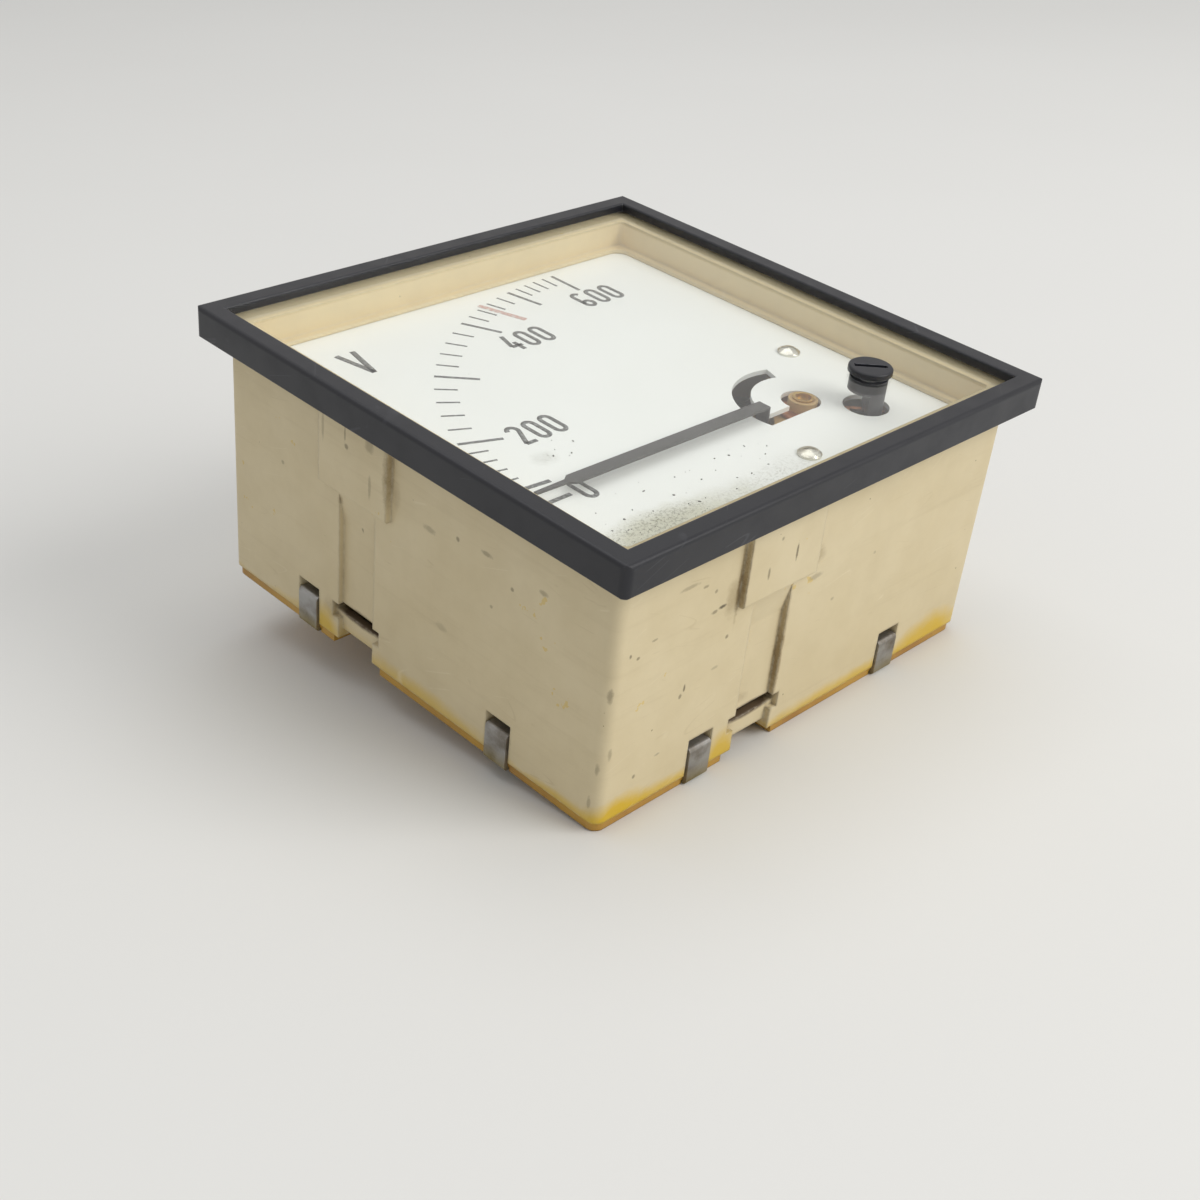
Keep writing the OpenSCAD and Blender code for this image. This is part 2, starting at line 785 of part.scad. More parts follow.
lead_r = 0.7;
lug_z = base_top + 0.5 + lead_r;
pad_z = board_z + board_t + lead_r;
flange_z = cup_top + lead_r;
route_input = [[-20, 18.6, lug_z], [-21.5, 14.5, lug_z + 1], [-25, 10, -37], [-30, 6.4, -32],
               [-34, 3.4, -28.6], [-36.6, 0, -28], [-36.6, -2.8, -29.8], [-35.6, -4, pad_z]];
route_coil = [[-6.4, -28, pad_z], [-4.4, -27.6, -30.4], [-2.2, -26.4, -27.6], [-1, -25, -23],
              [0.2, -23.6, -18.8], [2.4, -22.4, -16.7], [4.2, -21.6, -16.8], [5.3, -21.3, flange_z]];
route_return = [[13.15, -7.4, flange_z], [12.4, -6, -16.8], [11.2, -3.6, -16.9], [10.8, -1.4, -19.4],
                [11.5, 0.6, -24], [13, 4, -30], [16, 9.5, -36.5], [19, 15, -39.8], [20, 18.6, lug_z]];

module lead_input() { color("#8e2f2a") lead(route_input, [1, -1, 0]); }
module lead_coil() { color("#8e2f2a") lead(route_coil, [1, -1, 0]); }
module lead_return() { color("#2f3338") lead(route_return, [1, 0, 0]); }

bezel();
window_pane();
housing();
base_plate();
clips_left();
clips_right();
clips_top();
clips_bottom();
dial_plate();
scale_marks();
red_index();
dial_screws();
pointer();
pointer_collet();
balance_weights();
spindle();
hairspring();
damping_vane();
iron_carrier();
moving_iron();
zero_lever();
zero_adjuster();
adjuster_sleeve();
bearing_bridge();
bridge_screws();
front_jewel_screw();
damping_box();
damping_lid();
movement_cup();
cup_screws();
coil_bobbin();
coil_winding();
fixed_iron();
rear_jewel_screw();
rear_lock_nut();
terminal_studs();
solder_lugs();
fixing_washers();
fixing_nuts();
contact_washers();
terminal_nuts();
resistor_board();
board_spacers();
board_screws();
series_resistors();
lead_input();
lead_coil();
lead_return();
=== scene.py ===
"""Looks of a square panel voltmeter: finishes, printed numerals, threads and dust round its frame."""

import logging
import math
from dataclasses import dataclass, field
from enum import Enum
from typing import ClassVar, Iterable, Sequence

import bpy
from mathutils import Matrix, Vector


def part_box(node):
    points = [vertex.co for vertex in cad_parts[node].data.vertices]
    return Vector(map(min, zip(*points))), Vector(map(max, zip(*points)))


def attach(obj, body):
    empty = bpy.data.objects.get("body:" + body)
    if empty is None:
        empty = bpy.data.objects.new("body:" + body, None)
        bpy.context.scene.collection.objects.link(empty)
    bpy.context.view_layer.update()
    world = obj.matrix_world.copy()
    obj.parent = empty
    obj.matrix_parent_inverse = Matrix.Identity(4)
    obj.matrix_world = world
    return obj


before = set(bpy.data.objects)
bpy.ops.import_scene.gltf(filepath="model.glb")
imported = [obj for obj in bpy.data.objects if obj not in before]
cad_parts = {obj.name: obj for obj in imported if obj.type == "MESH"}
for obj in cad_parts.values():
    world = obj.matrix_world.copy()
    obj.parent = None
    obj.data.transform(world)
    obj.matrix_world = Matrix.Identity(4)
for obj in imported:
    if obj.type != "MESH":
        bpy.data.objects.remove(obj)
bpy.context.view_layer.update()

LOG = logging.getLogger("panel_meter")
MM = 0.001
PER_CM2 = 1e4

Node = bpy.types.Node
Object = bpy.types.Object
Socket = bpy.types.NodeSocket
Tree = bpy.types.NodeTree
Colour = tuple[float, float, float]
Point = tuple[float, float, float]
Flat = tuple[float, float]
Value = Socket | float | tuple
Finishes = dict[str, tuple[str, ...]]


class Body(Enum):
    """The rigid bodies that added pieces ride on."""

    CASE = "case"


class Stroke(Enum):
    """How a printed stroke's width relates to the numerals' stroke."""

    PLAIN = 1.0
    BOLD = 1.25


def srgb(red: int, green: int, blue: int) -> Colour:
    """Turn a display colour into a linear one.

    Args:
        red: Red from 0 to 255.
        green: Green from 0 to 255.
        blue: Blue from 0 to 255.

    Returns:
        The three linear channels.
    """
    def channel(value: int) -> float:
        """One channel's linear value."""
        v = value / 255
        return v / 12.92 if v <= 0.04045 else ((v + 0.055) / 1.055) ** 2.4

    return channel(red), channel(green), channel(blue)


def metres(point: Sequence[float]) -> Vector:
    """Turn a point in millimetres into metres."""
    return Vector(point) * MM


def add_object(name: str, data: bpy.types.ID) -> Object:
    """Put data in the scene as an object at the origin.

    Args:
        name: The object's name.
        data: Its mesh, curve, light or camera data.

    Returns:
        The object.
    """
    piece = bpy.data.objects.new(name, data)
    bpy.context.scene.collection.objects.link(piece)
    return piece


# ---------------------------------------------------------------- node trees


class ShaderTree:
    """Short calls for building a shader tree."""

    def __init__(self, tree: Tree) -> None:
        """Wrap a tree and empty it."""
        self.tree = tree
        tree.nodes.clear()

    def add(self, kind: str, inputs: dict | None = None, **settings) -> Node:
        """Add a node.

        Args:
            kind: The node's type name without its prefix.
            inputs: Socket name or index to a value or to a socket to link.
            settings: Attributes set on the node.

        Returns:
            The new node.
        """
        node = self.tree.nodes.new("ShaderNode" + kind)
        for name, value in settings.items():
            setattr(node, name, value)
        for name, value in (inputs or {}).items():
            self.feed(node.inputs[name], value)
        return node

    def feed(self, socket: Socket, value: Value) -> None:
        """Link a socket to value, or set it where value is plain.

        Args:
            socket: The socket to feed.
            value: A socket to link, or a plain value.
        """
        if isinstance(value, Socket):
            self.tree.links.new(value, socket)
        elif isinstance(value, (tuple, list)) and len(value) == 3 and socket.type == "RGBA":
            socket.default_value = (*value, 1)
        else:
            socket.default_value = value

    def math(self, operation: str, a: Value, b: Value = 0.0, clamp: bool = False) -> Socket:
        """The result of a Math node on a and b."""
        return self.add("Math", {0: a, 1: b}, operation=operation, use_clamp=clamp).outputs[0]

    def times(self, a: Value, b: Value, clamp: bool = False) -> Socket:
        """The product of a and b."""
        return self.math("MULTIPLY", a, b, clamp)

    def invert(self, a: Value) -> Socket:
        """What a lacks from one."""
        return self.math("SUBTRACT", 1.0, a)

    def vector(self, operation: str, a: Value, b: Value = (0, 0, 0), output: int = 0) -> Socket:
        """The result of a Vector Math node on a and b."""
        return self.add("VectorMath", {0: a, 1: b}, operation=operation).outputs[output]

    def blend(self, kind: str, factor: Value, a: Value, b: Value) -> Socket:
        """Values or colours a and b mixed by factor.

        Args:
            kind: Float or Color.
            factor: How much of b shows.
            a: The first value.
            b: The second value.

        Returns:
            The mixed result.
        """
        data_type = "RGBA" if kind == "Color" else "FLOAT"
        node = self.add("Mix", data_type=data_type, clamp_factor=True)
        for name, value in (("Factor_Float", factor), ("A_" + kind, a), ("B_" + kind, b)):
            self.feed(next(s for s in node.inputs if s.identifier == name), value)
        return next(s for s in node.outputs if s.identifier == "Result_" + kind)

    def mix(self, factor: Value, a: Value, b: Value) -> Socket:
        """Colours a and b mixed by factor."""
        return self.blend("Color", factor, a, b)

    def spread(
        self, value: Value, low: Value, high: Value, to_low: float = 0.0, to_high: float = 1.0
    ) -> Socket:
        """Map value's range from low..high to to_low..to_high, clamped.

        Args:
            value: What is mapped.
            low: The range's start.
            high: The range's end.
            to_low: What the start maps to.
            to_high: What the end maps to.

        Returns:
            The mapped value.
        """
        return self.add(
            "MapRange",
            {"Value": value, "From Min": low, "From Max": high, "To Min": to_low, "To Max": to_high},
            clamp=True).outputs[0]

    def noise(self, vector: Value, scale: Value, detail: float = 3.0, roughness: float = 0.5) -> Socket:
        """Noise from 0 to 1 on a vector.

        Args:
            vector: Where it is read.
            scale: Its scale.
            detail: Its octaves.
            roughness: How strong the fine octaves are.

        Returns:
            The noise.
        """
        return self.add(
            "TexNoise", {"Vector": vector, "Scale": scale, "Detail": detail, "Roughness": roughness}
        ).outputs["Fac"]

    def place(self) -> Socket:
        """Object coordinates, in metres."""
        return self.add("TexCoord").outputs["Object"]

    def use(self, group: Tree, output: str = "Mask", **inputs) -> Socket:
        """Place an effect group and return one of its outputs.

        Args:
            group: The group's tree.
            output: The output's name.
            inputs: Input names in lower case, and their values.

        Returns:
            The named output socket.
        """
        node = self.add("Group", node_tree=group)
        for name, value in inputs.items():
            self.feed(node.inputs[name.replace("_", " ").capitalize()], value)
        return node.outputs[output]


class EffectLibrary:
    """Shader groups that several finishes share."""

    def __init__(self) -> None:
        """Build every group once."""
        self.edge_wear = self._edge_wear()
        self.patches = self._patches()
        self.specks = self._specks()
        self.grain = self._grain()
        self.smudge = self._smudge()
        self.scratches = self._scratches()
        self.corner_shade = self._corner_shade()
        self.foot_band = self._foot_band()

    @staticmethod
    def _start(name: str, inputs: dict[str, float | Point], outputs: Iterable[str]) -> tuple:
        """Open a group with named sockets.

        Args:
            name: The group's name.
            inputs: Input names and their defaults.
            outputs: Output names.

        Returns:
            The wrapped tree, the input node's sockets and the output node's sockets.
        """
        tree = bpy.data.node_groups.new(name, "ShaderNodeTree")
        kit = ShaderTree(tree)
        for label, value in inputs.items():
            kind = "NodeSocketFloat" if isinstance(value, (int, float)) else "NodeSocketVector"
            tree.interface.new_socket(label, in_out="INPUT", socket_type=kind).default_value = value
        for label in outputs:
            kind = "NodeSocketVector" if label == "Normal" else "NodeSocketFloat"
            tree.interface.new_socket(label, in_out="OUTPUT", socket_type=kind)
        given = tree.nodes.new("NodeGroupInput").outputs
        out = tree.nodes.new("NodeGroupOutput").inputs
        return kit, given, out

    def _edge_wear(self) -> Tree:
        """Rubbed edges, which on the black moulding also carry a painted edge highlight: a mask broken up
        by noise, and a rounded normal.

        Returns:
            The group's tree.
        """
        kit, given, out = self._start(
            "edge_wear", {"Radius": 0.0003, "Breakup": 700.0, "Strength": 1.0}, ("Mask", "Normal"))
        bevel = kit.add("Bevel", {"Radius": given["Radius"]}, samples=6)
        flat = kit.add("NewGeometry").outputs["Normal"]
        turn = kit.invert(kit.vector("DOT_PRODUCT", bevel.outputs[0], flat, output=1))
        broken = kit.spread(kit.noise(kit.place(), given["Breakup"], 4.0, 0.65), 0.40, 0.60)
        edge = kit.times(kit.spread(turn, 0.02, 0.2), broken)
        kit.feed(out["Mask"], kit.times(edge, given["Strength"], True))
        kit.feed(out["Normal"], bevel.outputs[0])
        return kit.tree

    def _patches(self) -> Tree:
        """Soft uneven patches, more of them as cover rises.

        Returns:
            The group's tree.
        """
        kit, given, out = self._start(
            "patches", {"Scale": 60.0, "Cover": 0.5, "Softness": 0.12}, ("Mask",))
        cloud = kit.noise(kit.place(), given["Scale"], 5.0, 0.6)
        level = kit.invert(given["Cover"])
        low = kit.math("SUBTRACT", level, given["Softness"])
        high = kit.math("ADD", level, given["Softness"])
        kit.feed(out["Mask"], kit.spread(cloud, low, high))
        return kit.tree

    def _specks(self) -> Tree:
        """Scattered small dots of uneven size and slightly uneven outline.

        Returns:
            The group's tree.
        """
        kit, given, out = self._start("specks", {"Scale": 900.0, "Size": 0.2, "Share": 0.3}, ("Mask",))
        shake = kit.add(
            "TexNoise", {"Vector": kit.place(), "Scale": 2600.0, "Detail": 1.0}).outputs["Color"]
        moved = kit.add(
            "VectorMath", {0: shake, 1: (0.0001, 0.0001, 0.0001)}, operation="MULTIPLY").outputs[0]
        cells = kit.add(
            "TexVoronoi",
            {
                "Vector": kit.vector("ADD", kit.place(), moved), "Scale": given["Scale"],
                "Randomness": 1.0})
        chance = kit.add("SeparateColor", {0: cells.outputs["Color"]})
        chosen = kit.math("LESS_THAN", chance.outputs[0], given["Share"])
        size = kit.times(given["Size"], kit.spread(chance.outputs[1], 0, 1, 0.35, 1.0))
        soft = kit.times(size, 0.6)
        kit.feed(out["Mask"], kit.times(chosen, kit.spread(cells.outputs["Distance"], size, soft)))
        return kit.tree

    def _grain(self) -> Tree:
        """Fine moulded texture over a slow unevenness, as a height.

        Returns:
            The group's tree.
        """
        kit, given, out = self._start(
            "grain", {"Fine": 6000.0, "Slow": 150.0, "Balance": 0.5}, ("Height",))
        fine = kit.noise(kit.place(), given["Fine"], 2.0, 0.6)
        slow = kit.noise(kit.place(), given["Slow"], 2.0, 0.5)
        kit.feed(out["Height"], kit.blend("Float", given["Balance"], fine, slow))
        return kit.tree

    def _smudge(self) -> Tree:
        """A rounded patch at a place, with a ragged outline and grit in it.

        Returns:
            The group's tree.
        """
        kit, given, out = self._start(
            "smudge",
            {
                "Centre": (0.0, 0.0, 0.0), "Half": (0.001, 0.001, 0.001), "Ragged": 0.8, "Scale": 500.0,
                "Soft": 0.3, "Grit": 0.0},
            ("Mask",))
        place = kit.place()
        away = kit.vector("DIVIDE", kit.vector("SUBTRACT", place, given["Centre"]), given["Half"])
        shake = kit.math("SUBTRACT", kit.noise(place, given["Scale"], 5.0, 0.65), 0.5)
        reach = kit.math("ADD", kit.vector("LENGTH", away, output=1), kit.times(shake, given["Ragged"]))
        low = kit.invert(given["Soft"])
        high = kit.math("ADD", 1.0, given["Soft"])
        body = kit.invert(kit.spread(reach, low, high))
        grit = kit.spread(kit.noise(place, 2600.0, 3.0, 0.7), 0.5, 0.62)
        kit.feed(out["Mask"], kit.times(body, kit.blend("Float", given["Grit"], 1.0, grit)))
        return kit.tree

    def _scratches(self) -> Tree:
        """Short thin scratches that run mostly level, tilted by an angle.

        Returns:
            The group's tree.
        """
        kit, given, out = self._start(
            "scratches", {"Angle": 0.0, "Width": 0.006, "Share": 0.45}, ("Mask",))
        turned = kit.add(
            "VectorRotate", {"Vector": kit.place(), "Axis": (0.7, 0.7, 0.0), "Angle": given["Angle"]},
            rotation_type="AXIS_ANGLE").outputs[0]
        ridge = kit.math(
            "ABSOLUTE",
            kit.math(
                "SUBTRACT",
                kit.noise(kit.vector("MULTIPLY", turned, (14.0, 14.0, 170.0)), 1.0, 1.0, 0.4), 0.5))
        line = kit.invert(kit.spread(ridge, 0.0, given["Width"]))
        level = kit.invert(given["Share"])
        here = kit.spread(kit.noise(turned, 130.0, 3.0, 0.6), level, kit.math("ADD", level, 0.06))
        kit.feed(out["Mask"], kit.times(line, here))
        return kit.tree

    def _corner_shade(self) -> Tree:
        """Painted shade in inner corners, found by ambient occlusion and broken up by noise.

        Returns:
            The group's tree.
        """
        kit, given, out = self._start("painted_corner_shade", {"Distance": 0.0012, "Breakup": 320.0}, ("Mask",))
        open_sky = kit.add(
            "AmbientOcclusion", {"Distance": given["Distance"]}, samples=6, only_local=True)
        closed = kit.spread(open_sky.outputs["AO"], 0.92, 0.45)
        broken = kit.spread(kit.noise(kit.place(), given["Breakup"], 4.0, 0.6), 0.36, 0.62, 0.25, 1.0)
        kit.feed(out["Mask"], kit.times(closed, broken))
        return kit.tree

    def _foot_band(self) -> Tree:
        """A band along the lower end whose upper edge wanders.

        Returns:
            The group's tree.
        """
        kit, given, out = self._start("foot_band", {"Foot": -0.0419, "Height": 0.0024}, ("Mask",))
        place = kit.place()
        rise = kit.math("SUBTRACT", kit.add("SeparateXYZ", {0: place}).outputs[2], given["Foot"])
        wander = kit.spread(kit.noise(place, 42.0, 3.0, 0.55), 0.38, 0.66, 0.1, 1.0)
        fine = kit.spread(kit.noise(place, 420.0, 3.0, 0.6), 0.3, 0.7, -0.12, 0.12)
        top = kit.times(given["Height"], kit.math("ADD", wander, fine))
        kit.feed(out["Mask"], kit.spread(rise, top, kit.times(top, 0.2)))
        return kit.tree


# ------------------------------------------------------------------ finishes


class Coat(ShaderTree):
    """A material's tree with its Principled shader and the shared groups."""

    def __init__(self, tree: Tree, effects: EffectLibrary) -> None:
        """Start the tree with its shader."""
        super().__init__(tree)
        self.effects = effects
        self.shader = self.add("BsdfPrincipled")

    def coat(self, name: str, value: Value) -> None:
        """Feed the shader's socket of that name."""
        self.feed(self.shader.inputs[name], value)

    def bump(self, height: Value, depth: float, normal: Value | None = None) -> None:
        """Feed the shader's normal from a height.

        Args:
            height: The height, from 0 to 1.
            depth: Its depth in metres.
            normal: The normal that it starts from.
        """
        node = self.add("Bump", {"Height": height, "Distance": depth, "Strength": 1.0})
        if normal is not None:
            self.feed(node.inputs["Normal"], normal)
        self.coat("Normal", node.outputs[0])


@dataclass(frozen=True)
class Stain:
    """A rounded patch of another colour; sizes in millimetres."""

    centre: Point
    half: Point
    colour: Colour
    strength: float = 0.6
    ragged: float = 0.8
    scale: float = 500.0
    soft: float = 0.3
    grit: float = 0.0

    def mask(self, kit: Coat) -> Socket:
        """The stain's mask, with its strength.

        Args:
            kit: The material's tree.

        Returns:
            A value from 0 to the stain's strength.
        """
        shape = kit.use(
            kit.effects.smudge, centre=tuple(metres(self.centre)), half=tuple(metres(self.half)),
            ragged=self.ragged, scale=self.scale, soft=self.soft, grit=self.grit)
        return kit.times(shape, self.strength)

    def over(self, kit: Coat, base: Value) -> Socket:
        """The base colour with the stain laid over it."""
        return kit.mix(self.mask(kit), base, self.colour)


@dataclass(frozen=True)
class Finish:
    """Shared part of every finish: a name, a base colour and a roughness."""

    name: str
    colour: Colour
    roughness: float = 0.5

    def build(self, effects: EffectLibrary) -> bpy.types.Material:
        """Make the material.

        Args:
            effects: The shared groups.

        Returns:
            The finished material.
        """
        material = bpy.data.materials.new(self.name)
        material.use_nodes = True
        kit = Coat(material.node_tree, effects)
        self.dress(kit)
        output = kit.add("OutputMaterial")
        kit.feed(output.inputs["Surface"], self.surface(kit))
        return material

    def surface(self, kit: Coat) -> Socket:
        """The shader that reaches the output."""
        return kit.shader.outputs[0]

    def dress(self, kit: Coat) -> None:
        """Feed the shader's sockets.

        Args:
            kit: The material's tree.
        """
        raise NotImplementedError


@dataclass(frozen=True)
class Moulded(Finish):
    """Moulded plastic: slow tint, fine grain, rubbed edges, specks and scratches; the black moulding's
    light edges are also a painted edge highlight.
    """

    tint: Colour = (0.5, 0.5, 0.5)
    wear: Colour = (0.6, 0.6, 0.6)
    wear_strength: float = 0.4
    edge: float = 0.25
    grain_depth: float = 0.00001
    grain_fine: float = 5000.0
    speck: Colour = (0.3, 0.3, 0.3)
    speck_share: float = 0.05
    speck_size: float = 0.12
    speck_scale: float = 620.0
    scratch: float = 0.15
    specular: float = 0.5

    def body_colour(self, kit: Coat) -> Socket:
        """The plastic's own uneven colour under its wear.

        Args:
            kit: The material's tree.

        Returns:
            The colour socket.
        """
        return kit.mix(
            kit.use(kit.effects.patches, scale=45.0, cover=0.5, softness=0.2), self.colour, self.tint)

    def dress(self, kit: Coat) -> None:
        """Feed colour, roughness and normal for moulded plastic.

        Args:
            kit: The material's tree.
        """
        colour = self.body_colour(kit)
        specks = kit.use(
            kit.effects.specks, scale=self.speck_scale, size=self.speck_size, share=self.speck_share)
        colour = kit.mix(kit.times(specks, 0.75), colour, self.speck)
        lines = kit.use(kit.effects.scratches, angle=0.5, width=0.005)
        colour = kit.mix(kit.times(lines, self.scratch), colour, self.wear)
        # The light colour laid on the edges is rubbed wear; on the black moulding it is also a painted
        # edge highlight.
        wear = kit.use(kit.effects.edge_wear, radius=self.edge * MM, strength=self.wear_strength)
        kit.coat("Base Color", kit.mix(wear, colour, self.wear))
        uneven = kit.noise(kit.place(), 220.0, 3.0)
        rough = kit.spread(uneven, 0.3, 0.7, self.roughness - 0.06, self.roughness + 0.08)
        kit.coat("Roughness", kit.math("ADD", rough, kit.times(wear, 0.12), True))
        kit.coat("Specular IOR Level", self.specular)
        height = kit.use(kit.effects.grain, "Height", fine=self.grain_fine, slow=260.0, balance=0.35)
        kit.bump(height, self.grain_depth, wear.node.outputs["Normal"])


@dataclass(frozen=True)
class AgedHousing(Moulded):
    """Yellowed cream plastic: streaks, handling marks, painted shade in inner corners and lacquer along
    the foot.
    """

    inside: Colour = (0.7, 0.6, 0.4)
    streak: Colour = (0.4, 0.35, 0.25)
    # Colour of the painted shade laid in inner corners.
    dirt: Colour = (0.1, 0.07, 0.03)
    lacquer: Colour = (0.6, 0.4, 0.02)
    stains: tuple[Stain, ...] = ()
    inner_reach: float = 0.0422
    outer_reach: float = 0.0430
    foot_drop: float = 0.0002
    band_height: float = 0.0034

    def body_colour(self, kit: Coat) -> Socket:
        """Cream under streaks, marks, dirt and lacquer.

        Args:
            kit: The material's tree.

        Returns:
            The colour.
        """
        place = kit.add("SeparateXYZ", {0: kit.place()})
        reach = kit.math("MAXIMUM", *(kit.math("ABSOLUTE", place.outputs[axis]) for axis in (0, 1)))
        outside = kit.spread(reach, self.inner_reach, self.outer_reach)
        colour = kit.mix(outside, self.inside, super().body_colour(kit))
        mottle = kit.use(kit.effects.patches, scale=190.0, cover=0.44, softness=0.16)
        colour = kit.mix(kit.times(mottle, 0.14), colour, self.streak)
        level = kit.vector("MULTIPLY", kit.place(), (34.0, 34.0, 620.0))
        streaks = kit.times(kit.spread(kit.noise(level, 1.0, 4.0, 0.6), 0.56, 0.74), outside)
        colour = kit.mix(kit.times(streaks, 0.16), colour, self.streak)
        for angle, width, strength in ((0.0, 0.006, 0.34), (-0.45, 0.004, 0.26), (0.35, 0.004, 0.26)):
            lines = kit.use(kit.effects.scratches, angle=angle, width=width, share=0.42)
            colour = kit.mix(kit.times(kit.times(lines, outside), strength), colour, self.streak)
        # Painted shade: inner corners found by ambient occlusion are darkened towards the dirt colour.
        corners = kit.times(kit.use(kit.effects.corner_shade, distance=0.0011), outside)
        colour = kit.mix(kit.times(corners, 0.22), colour, self.dirt)
        band = kit.use(
            kit.effects.foot_band, foot=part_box("housing")[0].z - self.foot_drop, height=self.band_height
        )
        colour = kit.mix(kit.times(kit.times(band, outside), 0.42), colour, self.lacquer)
        for stain in self.stains:
            colour = stain.over(kit, colour)
        return colour


@dataclass(frozen=True)
class Metal(Finish):
    """Bare metal: brushed roughness, tarnish patches and stains that dull it."""

    tarnish: Colour = (0.2, 0.15, 0.1)
    cover: float = 0.42
    brush: Point = (60.0, 60.0, 2500.0)
    stains: tuple[Stain, ...] = ()

    def dress(self, kit: Coat) -> None:
        """Feed colour, metallic, roughness and normal for metal.

        Args:
            kit: The material's tree.
        """
        patches = kit.use(kit.effects.patches, scale=260.0, cover=self.cover, softness=0.16)
        colour = kit.mix(patches, self.colour, self.tarnish)
        kit.coat("Metallic", 1.0)
        dull = kit.times(patches, 0.15)
        for stain in self.stains:
            mask = stain.mask(kit)
            colour = kit.mix(mask, colour, stain.colour)
            dull = kit.math("ADD", dull, kit.times(mask, 0.3))
        kit.coat("Base Color", colour)
        lines = kit.noise(kit.vector("MULTIPLY", kit.place(), self.brush), 1.0, 3.0, 0.6)
        rough = kit.spread(lines, 0.3, 0.7, self.roughness - 0.08, self.roughness + 0.1)
        kit.coat("Roughness", kit.math("ADD", rough, dull, True))
        kit.bump(lines, 0.000003, kit.use(kit.effects.edge_wear, "Normal", radius=0.00008))


@dataclass(frozen=True)
class Print(Finish):
    """Printed ink that has faded and rubbed thin in places."""

    paper: Colour = (0.8, 0.8, 0.8)
    fade: float = 0.4

    def dress(self, kit: Coat) -> None:
        """Feed colour and roughness for ink.

        Args:
            kit: The material's tree.
        """
        rubbed = kit.use(kit.effects.patches, scale=1700.0, cover=0.44, softness=0.08)
        faded = kit.math("ADD", kit.times(rubbed, self.fade), self.fade * 0.25, True)
        kit.coat("Base Color", kit.mix(faded, self.colour, self.paper))
        kit.coat("Roughness", kit.spread(rubbed, 0, 1, self.roughness, self.roughness + 0.1))
        kit.bump(kit.use(kit.effects.grain, "Height", fine=3000.0, slow=900.0, balance=0.3), 0.000004)


@dataclass(frozen=True)
class Enamel(Finish):
    """White dial enamel with faint specks and dusty stains."""

    dirt: Colour = (0.3, 0.3, 0.2)
    stains: tuple[Stain, ...] = ()

    def dress(self, kit: Coat) -> None:
        """Feed colour, roughness and normal for enamel.

        Args:
            kit: The material's tree.
        """
        tint = kit.use(kit.effects.patches, scale=35.0, cover=0.5, softness=0.3)
        colour = kit.mix(kit.times(tint, 0.05), self.colour, self.dirt)
        for stain in self.stains:
            colour = stain.over(kit, colour)
        specks = kit.use(kit.effects.specks, scale=380.0, size=0.055, share=0.3)
        kit.coat("Base Color", kit.mix(kit.times(specks, 0.4), colour, self.dirt))
        kit.coat("Roughness", kit.spread(tint, 0, 1, self.roughness, self.roughness + 0.08))
        kit.bump(kit.use(kit.effects.grain, "Height", fine=2500.0, slow=300.0, balance=0.5), 0.000006)


@dataclass(frozen=True)
class Laminate(Finish):
    """Varnished laminate whose cut edges show its layers."""

    layer: Colour = (0.2, 0.1, 0.03)
    varnish: Colour = (0.6, 0.4, 0.05)

    def dress(self, kit: Coat) -> None:
        """Feed colour, roughness and normal for laminate.

        Args:
            kit: The material's tree.
        """
        wavy = kit.math(
            "ADD", kit.add("SeparateXYZ", {0: kit.place()}).outputs[2],
            kit.times(kit.noise(kit.place(), 140.0, 3.0), 0.0006))
        bands = kit.math("SINE", kit.times(wavy, 17000.0))
        colour = kit.mix(kit.spread(bands, 0.1, 1.0, 0.0, 0.45), self.colour, self.layer)
        patches = kit.use(kit.effects.patches, scale=85.0, cover=0.55, softness=0.12)
        colour = kit.mix(kit.times(patches, 0.6), colour, self.varnish)
        specks = kit.use(kit.effects.specks, scale=700.0, size=0.16, share=0.12)
        colour = kit.mix(kit.times(specks, 0.7), colour, self.layer)
        wear = kit.use(kit.effects.edge_wear, radius=0.0003, strength=0.6)
        kit.coat("Base Color", kit.mix(wear, colour, self.layer))
        kit.coat("Roughness", kit.spread(patches, 0, 1, self.roughness + 0.12, self.roughness))
        kit.bump(
            kit.use(kit.effects.grain, "Height", fine=3500.0, slow=400.0, balance=0.4), 0.00002,
            wear.node.outputs["Normal"])


@dataclass(frozen=True)
class Winding(Finish):
    """Turns of enamelled wire lying side by side."""

    gap: Colour = (0.1, 0.03, 0.01)
    pitch: float = 0.35

    def dress(self, kit: Coat) -> None:
        """Feed colour, roughness and normal for the wound wire.

        Args:
            kit: The material's tree.
        """
        height = kit.add("SeparateXYZ", {0: kit.place()}).outputs[2]
        turns = kit.math("SINE", kit.times(height, 2 * math.pi / (self.pitch * MM)))
        tone = kit.noise(kit.place(), 300.0, 2.0)
        colour = kit.mix(kit.spread(turns, -1.0, -0.2, 1.0, 0.0), self.colour, self.gap)
        kit.coat("Base Color", kit.mix(kit.spread(tone, 0.4, 0.7, 0, 0.4), colour, self.gap))
        kit.coat("Roughness", kit.spread(tone, 0.3, 0.7, self.roughness, self.roughness + 0.1))
        kit.coat("Metallic", 0.6)
        kit.coat("Coat Weight", 0.4)
        kit.bump(turns, 0.00006)


